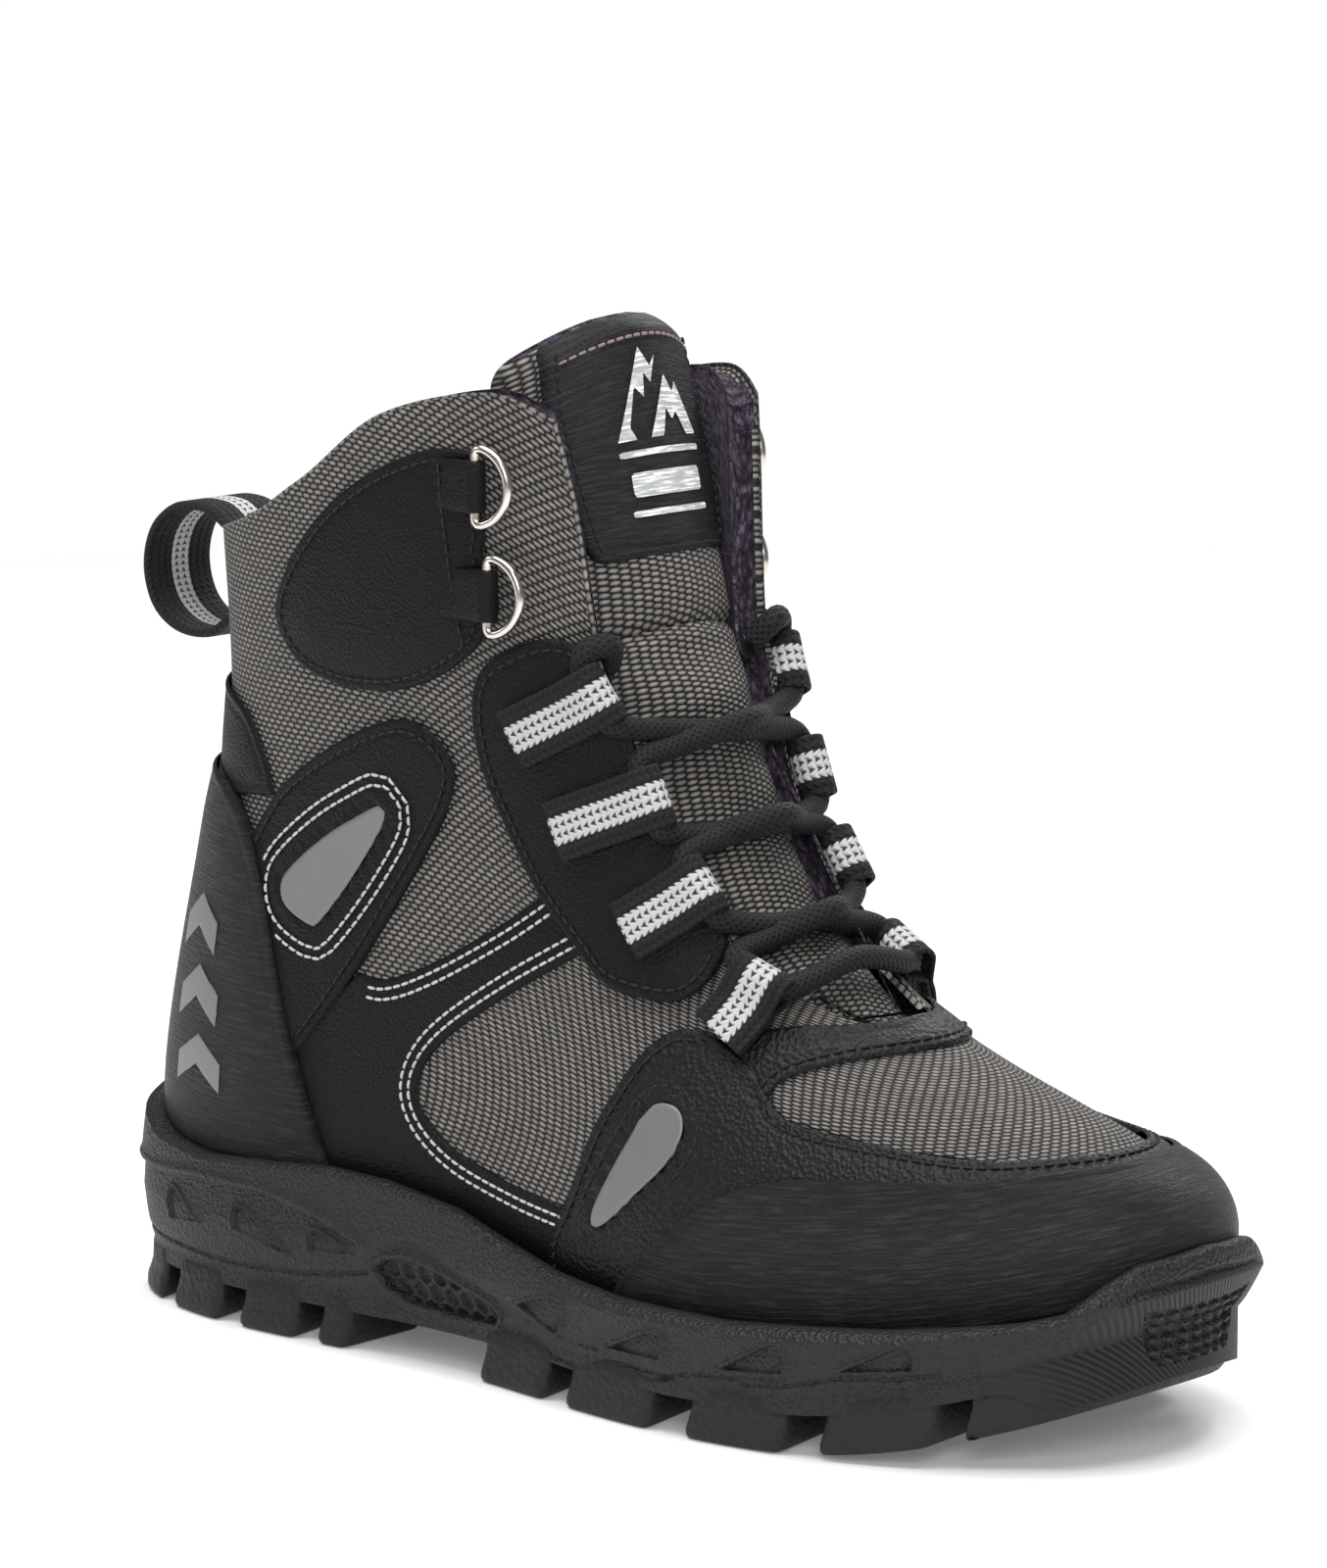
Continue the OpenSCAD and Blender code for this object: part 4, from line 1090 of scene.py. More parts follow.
REAR_FILM = [(3.23, 4.35), (3.35, 4.43), (3.4, 4.38), (3.33, 4.18), (3.07, 3.67),
             (2.83, 3.26), (2.75, 3.2), (2.53, 3.33), (2.48, 3.53), (2.6, 3.74),
             (2.9, 4.07), (3.23, 4.35)]
FRONT_FILM = [(5.12, 2.49), (5.26, 2.7), (5.39, 2.72), (5.39, 2.54), (5.27, 2.22),
              (5.06, 1.8), (4.87, 1.38), (4.79, 1.32), (4.81, 1.56), (4.94, 2.03),
              (5.12, 2.49)]
STAY_OUTER = [(5.83, 6.33), (5.56, 6.47), (5.14, 6.39), (4.65, 6.11), (4.43, 5.84),
              (4.35, 5.47), (4.37, 5.03), (4.51, 4.58), (4.68, 4.14), (4.89, 3.83),
              (5.06, 3.6), (5.35, 3.6), (5.66, 3.72), (5.99, 4.03), (6.41, 4.57)]
STAY_FRONT = [(6.41, 4.57), (6.45, 5.08), (6.28, 5.52), (6.06, 6.08), (5.83, 6.33)]
PATCH_ROUND = [(4.53, 7.87), (4.02, 7.88), (3.42, 7.66), (2.91, 7.26), (2.51, 6.69),
               (2.35, 6.17), (2.55, 5.72), (2.94, 5.52), (3.48, 5.54), (4.0, 5.78),
               (4.45, 6.14), (4.6, 6.38), (4.74, 6.54)]
PATCH_FRONT = [(4.74, 6.54), (4.71, 6.82), (4.59, 6.97), (4.62, 7.18), (4.59, 7.3),
               (4.6, 7.55), (4.53, 7.87)]
TAB_SEAM = [(4.17, 7.78), (4.2, 7.35), (4.26, 6.8), (4.32, 6.35), (4.36, 6.14)]
BACKSTAY_TOP = [(2.3, 4.3), (2.15, 4.69), (1.78, 5.15), (0.9, 5.4), (0, 5.45)]


def both_ways(run, centre=8):
    """A run to the middle, carried on as its mirror image on the other side."""
    return list(run) + [(2 * centre - u, v) for u, v in run[-2::-1]]


def closed_line(run):
    """Smooth closed (u, v) line through a run that ends where it starts."""
    return even_uv(curve(run, 14 * len(run)), 0.8)[:-1]


def film_lip(run, medial=False):
    """Raised lip round a cut-out with reflective film in it."""
    line = closed_line(run)
    if medial:
        line = other_side(line)
    rim = skin(line[:, 0], line[:, 1])

    def relief(u, v):
        away = nearest(skin(u, v), rim)
        within = inside_shape(u, v, line)
        return np.where(within, -0.9 * clamp(away / 0.6), 0.5 * np.exp(-((away - 1.2) / 0.9)**2))
    return relief


def beside(run, away, medial=False):
    """An open (u, v) run moved to its left over the form."""
    line = even_uv(curve(run, 12 * len(run)), OUTLINE_STEP)
    if medial:
        line = other_side(line)
        away = -away
    du, dv = slopes(line[:, 0], line[:, 1])
    side = np.cross(unit(np.cross(du, dv)), tangents(skin(line[:, 0], line[:, 1])))
    return line + away * uv_step(du, dv, side)


def heel_edge(v):
    """How far forward the heel cap reaches at a height."""
    pts = np.array(HEEL_FRONT)
    return np.interp(v, pts[:, 1], pts[:, 0])


black_seams, white_seams = [], []
for side, medial in SIDES:
    layer(f"side_overlay_{side}", [
        [(2.7, LOW), (3.6, LOW), (4.7, LOW)], [(4.7, LOW), (4.65, 1.35)], WINDOW_LOW,
        [(5.72, 4.46), (5.29, 4.66)], WINDOW_HIGH, [(3.1, 2.86), (2.75, 2.3), (2.6, 1.6),
                                                    (2.7, LOW)]],
        SMOOTH, OVERLAY - 0.3, "smooth_synthetic", medial=medial, groove=0.0, dome=0.3)
    for away in (1.9, 4.1):
        for run in (WINDOW_LOW, WINDOW_HIGH):
            line = beside(run, away, medial)
            if run is WINDOW_HIGH:
                line = line[:-3]
            white_seams.append(on_form(line, OVERLAY - 0.3 + 0.25))

    layer(f"rear_panel_{side}", [REAR_OUTER, REAR_INNER], SMOOTH, OVERLAY + 0.5,
          "smooth_synthetic", medial=medial, dome=0.5, relief=film_lip(REAR_FILM, medial))
    black_seams += seam_lines([REAR_OUTER, REAR_INNER], OVERLAY + 0.6, medial,
                              keep=lambda u, v: u > heel_edge(v) + 0.05)
    for away in (4.6, 6.9):
        line = beside(REAR_FILM, away, medial)
        flat = other_side(line) if medial else line
        ok = flat[:, 0] > heel_edge(flat[:, 1]) + 0.04
        white_seams += split_lines(line, ok, OVERLAY + 0.5 + 0.75)

    layer(f"rear_reflector_{side}", [REAR_FILM], FILM, OVERLAY + 1.3, "reflective_film",
          medial=medial, round_r=0.3, groove=0, grid=(0.04, 0.05))

    layer(f"eyestay_{side}", [STAY_OUTER, STAY_FRONT], SMOOTH, TOP_OVERLAY,
          "smooth_synthetic", medial=medial, dome=0.6)
    black_seams += seam_lines([STAY_OUTER, STAY_FRONT], TOP_OVERLAY + 0.1, medial)

    layer(f"ankle_patch_{side}", [PATCH_ROUND, PATCH_FRONT], SMOOTH, OVERLAY,
          "smooth_synthetic", medial=medial, dome=0.9)
    black_seams += seam_lines([PATCH_ROUND, PATCH_FRONT], OVERLAY + 0.1, medial)
    black_seams.append(on_form(beside(TAB_SEAM, 0, medial), OVERLAY + 0.85))

    black_seams.append(on_form(beside(FRONT_FILM, 3.6, medial), OVERLAY + 0.85))
    layer(f"front_reflector_{side}", [FRONT_FILM], FILM, OVERLAY + 1.25, "reflective_film",
          medial=medial, round_r=0.3, groove=0, grid=(0.03, 0.04))


def guard_relief(u, v):
    """Lips round both windows of film in the mudguard."""
    return film_lip(FRONT_FILM)(u, v) + film_lip(FRONT_FILM, True)(u, v)


layer("mudguard", [both_ways(GUARD_TOP), both_ways(GUARD_LOW)[::-1]], GRAIN,
      OVERLAY + 0.6, "grained_synthetic", start=8, dome=0.3, relief=guard_relief)
black_seams += seam_lines([both_ways(GUARD_TOP), both_ways(GUARD_LOW)[::-1]],
                          OVERLAY + 0.7)
layer("toe_cap", [both_ways(TOE_TOP),
                  [(11.05, LOW), (9.5, LOW), (8, LOW), (6.5, LOW), (4.95, LOW)]],
      STREAK, TOP_OVERLAY + 0.9, "brushed_synthetic", start=8, dome=0.9, thick=2.2)
layer("throat_yoke", [both_ways(YOKE_FRONT), [(10.1, 2.95), (10.1, 3.55)],
                      both_ways(YOKE_BACK)[::-1], [(5.9, 3.55), (5.9, 2.95)]],
      GRAIN, OVERLAY, "grained_synthetic", start=8, dome=0.2)
black_seams.append(on_form(beside(both_ways(YOKE_FRONT), 2.2), OVERLAY + 0.2))
black_seams.append(on_form(beside(both_ways(TOE_TOP), -2.2), OVERLAY + 0.9))
layer("backstay", [both_ways(BACKSTAY_TOP, 0),
                   [(-2.3, 4.3), (-1.2, 4.2), (0, 4.2), (1.2, 4.2), (2.3, 4.3)]],
      SMOOTH, OVERLAY + 0.1, "smooth_synthetic", start=0, dome=0.4)
layer("heel_cap", [both_ways(HEEL_FRONT, 0),
                   [(-3.0, LOW), (-1.5, LOW), (0, LOW), (1.5, LOW), (3.0, LOW)]],
      STREAK, TOP_OVERLAY + 0.9, "brushed_synthetic", start=0, dome=0.9, thick=2.6,
      groove=0.1)
layer("heel_webbing", [[(-0.5, 5.3), (0.5, 5.3)], [(0.5, 5.3), (0.5, 6.84)],
                       [(0.5, 6.84), (-0.5, 6.84)], [(-0.5, 6.84), (-0.5, 5.3)]],
      TAPE, OVERLAY - 0.2, "webbing", start=0, round_r=0.5, groove=0)
stitches("seam_black", black_seams, BLACK_THREAD)
stitches("seam_white", white_seams, WHITE_THREAD, pitch=2.35, length=1.95, radius=0.34)


# ------------------------------------------------------------------ lace and its loops

LOOPS = [((4.81, 5.48), (5.6, 6.05)), ((5.05, 4.8), (5.97, 5.45)),
         ((5.45, 4.17), (6.16, 4.8)), ((5.86, 3.5), (6.3, 4.02))]
LACE_HALF = [(143.5, -22.8, 151), (146.8, -26, 155.5), (144.5, -30.8, 155),
             (144, -31.5, 150), (146.4, -30.4, 145.6), (149.6, -28.6, 140),
             (153.5, -15, 137.6), (157.4, 0, 136.4), (155.4, 15, 134.8),
             (153.8, 25, 132.2), (157, 25.8, 125.1), (159.9, 24.6, 118.6),
             (163.6, 13, 117), (166.4, 0, 117.6), (164.6, -13, 116.4),
             (163.6, -22.8, 113.4), (168, -23.4, 107.3), (172.4, -21.8, 101.8),
             (176.6, -12, 99.4), (179.8, 0, 99.4), (178.4, 12, 97.2),
             (177.6, 22.6, 94.4), (183.6, 22.6, 89.8), (188.6, 18, 89),
             (190.6, 0.3, 92.6)]
OVER_CROSS = (4.4, 0, 2.6)
LOOP_WIDTH = 13
LOOP_THICK = 1.15


def lace_run():
    """The laced run. Where its halves cross, the mirrored one rides over the other."""
    half = np.array(LACE_HALF, float)
    other = half * (1, -1, 1)
    over = (np.abs(other[:, 1]) < 1) & (other[:, 0] < 185)
    other[over] += OVER_CROSS
    return np.vstack([half, other[:-1][::-1]])


# Its section is round with a faint flat where the braid is pulled over the webbing
lace = sweep("lace", curve(lace_run(), 640), circle(LACE_D, 14) * (1.0, 0.96),
             LACE_ACROSS, LACE, turns_uv=True)
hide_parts("lace")


def at(uv, h):
    """One place at a height off the form."""
    return off_skin(np.array([uv[0]]), np.array([uv[1]]), np.array([float(h)]))[0]


for side, medial in SIDES:
    for k, ends in enumerate(LOOPS):
        low, high = [np.array((16 - u, v) if medial else (u, v)) for u, v in ends]
        base = [low + (high - low) * j / 6 for j in range(7)]
        tip = at(high, 0)
        du, dv = slopes(high[:1], high[1:])
        out = unit(np.cross(du, dv))[0]
        d = tip - at(base[5], 0)
        along = unit(d - out * np.dot(d, out))
        eye = tip + along * 3.2 + out * 1.9
        r = LACE_D / 2 + 0.95
        path = [at(base[j], 2.75 + (0.6 if j == 5 else 0)) for j in range(6)]
        path += [eye + r * (math.cos(math.radians(a)) * along + math.sin(math.radians(a)) * out)
                 for a in range(110, -120, -22)]
        path += [at(base[j], 1.5) for j in range(5, -1, -1)]
        path = curve(path, 90)
        width_way = unit(np.cross(out, along))
        dirs = tangents(path)
        ways = unit(width_way - dirs * (dirs @ width_way)[:, None])
        obj = tape(f"lace_loop_{side}_{k + 1}", path, ways, LOOP_WIDTH, LOOP_THICK,
                   STRIPED_TAPE)
        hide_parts(f"lace_loop_{side}_{k + 1}")


# ------------------------------------------------------------------ D-rings and tabs

RINGS = {"upper": (123.5, -41.4, 188), "lower": (125.5, -40, 165.5)}
RING_R = 8
RING_WIRE = 2
RING_CORNER = 1.6       # the bar meets the arc in a tight round corner
LEAN = math.radians(8)
TAB_WIDTH = 10.6
TAB_THICK = 0.95


def at_bar(points, centre, medial):
    """Points in a ring bar's own frame, as places on the boot."""
    p = np.asarray(points, float)
    c, s = math.cos(LEAN), math.sin(LEAN)
    x = p[:, 0] * c - p[:, 1] * s + centre[0]
    y = p[:, 0] * s + p[:, 1] * c + centre[1]
    out = np.stack([x, y, p[:, 2] + centre[2]], 1)
    return out * (1, -1, 1) if medial else out


for side, medial in SIDES:
    for level, centre in RINGS.items():
        arc = [(RING_R * math.sin(a), 0, RING_R * math.cos(a))
               for a in np.radians(np.linspace(0, 180, 41))]
        corner = RING_CORNER
        bar = [(0, 0, z) for z in np.linspace(-RING_R + corner, RING_R - corner, 11)]
        top = [(corner * (1 - math.cos(a)), 0, RING_R - corner + corner * math.sin(a))
               for a in np.radians((30, 60))]
        low = [(corner * (1 - math.cos(a)), 0, -RING_R + corner - corner * math.sin(a))
               for a in np.radians((60, 30))]
        body_arc = [p for p in arc if p[0] > corner]
        loop = at_bar(bar + top + body_arc + low, centre, medial)
        across = at_bar([(0, 1, 0)], (0, 0, 0), medial)[0]
        obj = sweep(f"ring_{side}_{level}", loop, circle(RING_WIRE, 14),
                    np.tile(across, (len(loop), 1)), RING_METAL, f"ring_{side}_{level}",
                    closed=True, turns_uv=True)
        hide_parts(f"d_ring_{side}_{level}")
        # Tab: a strip folded round the bar, both plies running back on to the patch
        fold = [(-12, 1.5), (-8, 1.55), (-4, 1.75), (-1.2, 1.9), (0.2, 1.85), (1.25, 1.3),
                (1.8, 0.2), (1.45, -0.9), (0.5, -1.65), (-0.8, -1.7), (-3, -0.85),
                (-5.5, -0.1), (-8, 0.75), (-12.6, 1.6)]
        path = curve(at_bar([(x, y, 0) for x, y in fold], centre, medial), 70)
        up = np.tile(np.array([0, 0, 1.0]), (len(path), 1))
        obj = tape(f"ring_tab_{side}_{level}", path, up, TAB_WIDTH, TAB_THICK, SMOOTH)
    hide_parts(f"ring_tabs_{side}")


# ------------------------------------------------------------------ pull loop

PULL = [(26.5, 168.6), (22.2, 168.3), (16, 171.6), (7, 171.4), (0.2, 166.4), (-2.3, 158),
        (0.2, 149.6), (7, 144.8), (16, 144.4), (22.2, 147.7), (26.5, 147.4)]
PULL_WIDTH = 20
PULL_THICK = 1.9
path = curve([(x, 0, z) for x, z in PULL], 110)
pull = tape("pull_loop", path, np.tile((0, 1.0, 0), (len(path), 1)), PULL_WIDTH, PULL_THICK,
            PULL_TAPE, body=None)
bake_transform(pull)
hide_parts("pull_loop")


# ------------------------------------------------------------------ tongue

# Middle line of its face from the throat up: x, z, half width, depth of its side wings
TONGUE = [(208, 69, 21, 7), (198, 77.5, 24, 11), (186, 88, 24.5, 13), (172, 102.5, 24, 14),
          (161, 120, 23, 12), (153, 138, 22, 11), (147, 152, 21.5, 8.5), (145.2, 156, 21.5, 7.5),
          (143.8, 159, 22, 7), (142, 164, 24, 8.5), (139.5, 173, 26, 10),
          (136.6, 187, 28, 11.5), (133.4, 202, 28.5, 12), (130.8, 214, 27.5, 11.5),
          (130, 218, 26.5, 11)]
FOLD_Z = 157.5


def tongue_line(count):
    """Middle line of the tongue's face, and the direction it faces at each place."""
    c = curve(TONGUE, count)
    d = tangents(c[:, :2])
    face = np.stack([d[:, 1], -d[:, 0]], 1)
    return c, face


def tongue_place(c, face, s, h):
    """Points on the tongue: s across from -1 to 1, h off its face."""
    q = c[:, None, :2] + face[:, None] * (h - c[:, None, 3] * s**2)[..., None]
    z = c[:, 1]
    # It sits a little to the inner side of the foot between the loops and the collar
    aside = 3.2 * smoothstep(105, 145, z) * (1 - 0.65 * smoothstep(180, 216, z))
    y = s * c[:, None, 2] + (toe_swing(c[:, 0], z) + aside)[:, None]
    # Its top is arched, and the wings' tops slope down to the back
    arch = (3.4 - 8.0 * s**2) * smoothstep(183, 218, z)[:, None]
    return np.stack([q[..., 0], y, q[..., 1] + arch], -1)


def tongue_body():
    """Padded tongue: puckered fabric in front, fleece behind and along its top."""
    n, m = 260, 72
    c, face = tongue_line(n)
    z = c[:, 1]
    thick = 5.0 + 3.0 * smoothstep(157, 166, z)
    pinch = np.exp(-((z - FOLD_Z) / 1.6)**2)
    end = np.sqrt(np.maximum(1 - (1 - clamp((218.2 - z) / 4.5))**2, 0.02))
    a = np.arange(m) * 2 * math.pi / m
    sx = np.sign(np.cos(a)) * np.abs(np.cos(a))**0.5
    hy = np.sign(np.sin(a)) * np.abs(np.sin(a))**0.5
    s = sx[None] * (1 - 0.02 * pinch[:, None]) * (0.9 + 0.1 * end[:, None])
    # Puckers of the fabric between one crossing of the lace and the next
    crossing = (99, 117.6, 136.4, 152)
    press = sum(np.exp(-((z - k) / 4.2)**2) for k in crossing)
    front = np.maximum(hy, 0)[None]
    swell = (1.5 * (1 - press) * smoothstep(76, 92, z) * (z < FOLD_Z))[:, None]
    fold = 0.55 * np.sin(z[:, None] / 2.9 + 1.7 * s + 0.8 * np.sin(z[:, None] / 5.3)) \
        * np.cos(1.9 * s + z[:, None] / 9) * (z[:, None] < 158)
    upper = (1.5 * smoothstep(158, 165, z) * (1 - smoothstep(168, 178, z)))[:, None]
    h = -thick[:, None] / 2 + thick[:, None] / 2 * hy[None] * end[:, None]
    h = h + front * (swell * (1 - s**2) + 0.9 * fold + upper * (1 - s**2)
                     - 1.9 * pinch[:, None])
    points = tongue_place(c, face, s, h).reshape(-1, 3)
    faces = grid_faces(n, m, wrap=True)
    faces += [tuple(range(m)), tuple((n - 1) * m + k for k in range(m))[::-1]]
    run = run_along(c[:, :2]) / 1000
    wide = s * c[:, None, 2] / 1000
    obj = new_piece("tongue", points, [f[::-1] for f in faces],
                    [TONGUE_WEAVE, FLEECE], body=None)
    layer = obj.data.uv_layers.new(name="length").data
    for loop in obj.data.loops:
        k = loop.vertex_index
        layer[loop.index].uv = (wide[k // m, k % m], run[k // m])
    kinds = []
    for f in faces:
        back = np.mean([hy[k % m] for k in f]) < -0.35
        at_top = z[f[0] // m] > 217.3
        kinds.append(1 if back or at_top else 0)
    obj.data.polygons.foreach_set("material_index", np.array(kinds, np.int32))
    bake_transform(obj)
    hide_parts("tongue", "tongue_top")


tongue_body()


def label():
    """Label up the tongue's face and over its top edge, with a rounded foot."""
    n, m = 120, 40
    c, face = tongue_line(1200)
    keep = (c[:, 1] > 171.5) & (c[:, 1] < 217.6)
    every = max(1, keep.sum() // n)
    c, face = c[keep][::every], face[keep][::every]
    n = len(c)
    z = c[:, 1]
    t = np.linspace(-1, 1, m)
    foot = np.sqrt(np.maximum(1 - (1 - clamp((z - z[0]) / 4.5))**2, 0))
    wide = (c[:, 2] - 5.2) / c[:, 2] * (1 - 0.12 * (1 - foot))
    s = t[None] * wide[:, None]
    rim = np.minimum((1 - np.abs(t))[None] * wide[:, None] * c[:, None, 2],
                     (z - z[0])[:, None])
    over = np.minimum(rim, 1.2) / 1.2
    lift = 1.55 - 0.8 * (1 - np.sqrt(1 - (1 - over)**2))
    dent = 0.25 * np.exp(-((rim - 2.0) / 0.5)**2)
    bend = -3.6 * (clamp((z - 213.5) / 4.1)**2)[:, None]
    h = lift - dent + bend
    points = tongue_place(c, face, s, h).reshape(-1, 3)
    under = tongue_place(c, face, s, h - 1.0).reshape(-1, 3)
    faces = [f[::-1] for f in grid_faces(n, m)]
    rim_order = (list(range(m)) + [i * m + m - 1 for i in range(1, n)]
                 + [(n - 1) * m + j for j in range(m - 2, -1, -1)]
                 + [i * m for i in range(n - 2, 0, -1)])
    base = n * m
    skirt = [(rim_order[k], rim_order[(k + 1) % len(rim_order)],
              base + (k + 1) % len(rim_order), base + k) for k in range(len(rim_order))]
    points = np.vstack([points, under[rim_order]])
    run = run_along(c[:, :2]) / 1000
    wide_m = s * c[:, None, 2] / 1000
    uv = np.stack([wide_m, np.broadcast_to(run[:, None], wide_m.shape)], -1).reshape(-1, 2)
    uv = np.vstack([uv, uv[rim_order]])
    obj = new_piece("tongue_label", points, faces + skirt, LABEL, uv, body="tongue_flap")
    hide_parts("tongue_label")
    # Seam round the label, and the mauve one under its top edge
    rows = []
    for sign in (-1, 1):
        q = tongue_place(c, face, np.full((n, 1), sign) * (wide[:, None] - 2.0
                         / c[:, None, 2]), np.full((n, 1), 1.4))[:, 0]
        rows.append((q[8:-22], np.tile((0.9, 0, 0.3), (len(q[8:-22]), 1))))
    tt = np.linspace(-0.8, 0.8, 30)[None]
    q = tongue_place(c[5:6], face[5:6], tt * wide[5], np.full((1, 30), 1.4))[0]
    rows.append((q, np.tile((0.95, 0, 0.2), (30, 1))))
    stitches("label_stitches", rows, BLACK_THREAD, body="tongue_flap", pitch=2.2, length=1.8)
    k = int(np.argmin(np.abs(z - 213.2)))
    q = tongue_place(c[k:k + 1], face[k:k + 1], np.linspace(-0.9, 0.9, 40)[None] * wide[k],
                     np.full((1, 40), 1.6))[0]
    stitches("label_top_stitches", [(q, np.tile((0.95, 0, 0.3), (40, 1)))], MAUVE_THREAD,
           body="tongue_flap", pitch=2.3, length=1.9, radius=0.38)


label()


# ------------------------------------------------------------------ sole

TREAD = [(3, 0), (5, -24), (40, -39), (80, -38), (122, -38), (168, -50), (216, -52),
         (262, -36), (277, 0)]
WIDEST = [(1, 0), (3.5, -26.5), (39, -42.4), (80, -42.4), (122, -42.4), (168, -53), (216, -55),
          (267, -40), (281, 0)]
RIM = [(3.6, 0), (5.4, -26), (40, -42), (80, -42), (120, -42), (165, -51), (215, -53),
       (266, -38), (280, 0)]
# Height of its top edge at places round from the heel
RIM_TOP = [(0, 46), (0.5, 45.3), (1.0, 42.5), (1.5, 38.6), (2.0, 37.2), (2.5, 38.6), (3.0, 40),
           (3.4, 39.4), (3.9, 36.4), (4.3, 31.6), (4.6, 28.4), (5.0, 26.3), (5.6, 26.0),
           (6.3, 28.3), (6.9, 31.5), (7.1, 33.2), (7.3, 38.6), (7.5, 42.2), (8.0, 43.8)]
LUG_H = 9
PLATE = 12.5
ARCH_BACK = 84
ARCH_FRONT = 124
MIDDLE = 10.5          # half width of the block under the middle of the sole


def spring(x):
    """How far the sole rises towards the toe."""
    return 18 * clamp((np.asarray(x, float) - 200) / 76)**2


def sole_outline(control, u):
    """Places round the sole, from its nine places on the lateral side."""
    ring = all_round([(x, y, 0) for x, y in control])
    return around(ring, np.asarray(u, float))[..., :2]


def rim_height(u):
    """Top edge of the sole: high behind the heel and over the toe's bumper."""
    return np.interp(from_heel(u), *np.array(RIM_TOP).T)


def away_from(x, z, line):
    """Distance to a line drawn on the side wall, and 1e3 where it is out of reach."""
    reach = 4
    p = np.array(line, float)
    out = np.full(np.shape(x), 1e3)
    lo, hi = p.min(0) - reach, p.max(0) + reach
    near = (x > lo[0]) & (x < hi[0]) & (z > lo[1]) & (z < hi[1])
    a = np.stack([x[near], z[near]], -1)
    best = np.full(len(a), 1e3)
    for p0, p1 in zip(p[:-1], p[1:]):
        d = p1 - p0
        t = clamp(((a - p0) @ d) / max(d @ d, 1e-9))
        best = np.minimum(best, np.linalg.norm(a - p0 - t[:, None] * d, axis=1))
    out[near] = best
    return out


HEEL_CLAWS = [[(27, 20.5), (26.8, 26), (29.5, 28), (34, 25.2), (39, 21.6)],
              [(51.2, 22.5), (51.4, 26.4), (54.2, 28), (61.7, 24.1), (68, 19.2)],
              [(74.2, 21.3), (74.7, 25), (77.2, 26.3), (82.9, 24.4), (87, 22)]]
FORE_CLAWS = [[(137, 20.2), (144, 22.6), (150.8, 24.2), (153, 22.8), (151.8, 18),
               (149.5, 15.3)],
              [(163.5, 15.6), (172, 19.2), (178.6, 21.8), (181.3, 20.6), (180.8, 16)],
              [(194.5, 16.2), (203, 20.8), (209, 23.8), (211.6, 22), (211.2, 17.5)],
              [(222.8, 19.4), (231, 23.6), (236.6, 26.4), (239, 24.2), (238.8, 21)]]
STEP = [(-20, 31), (8, 30.5), (23, 30.6), (39, 32), (62, 32.2), (76, 29.8), (91, 24.8)]
BAND = [(91, 24.8), (99.5, 27), (109, 27.2), (119, 23.8), (133, 18.8), (145.6, 15.6),
        (161, 14.6)]
LUG_LINE = [(8, 15), (30, 14.7), (47, 14.2), (70.6, 15.4), (91, 18.6)]
WAVES = [[(137, 11.5), (146, 10.2), (156, 9.8), (164, 12), (172, 12.6), (181, 12)],
         [(168, 11), (178, 11.4), (188, 14), (199, 14.6), (211, 16.2)],
         [(200, 13.6), (212, 15.2), (224, 18), (234, 18.6), (244, 20.5)]]
WINDOW = [(93.7, 20.2), (96.9, 22.4), (103, 23.6), (111, 22.4), (127.6, 17.6),
          (129.4, 15.4), (127.4, 13.2), (114.5, 12.9), (102, 13.4), (95.9, 16.2)]
BUMPS = [(7.54, 32.5), (8.46, 32.5), (8.4, 25), (8.34, 20.6), (7.66, 20.6), (7.6, 25)]


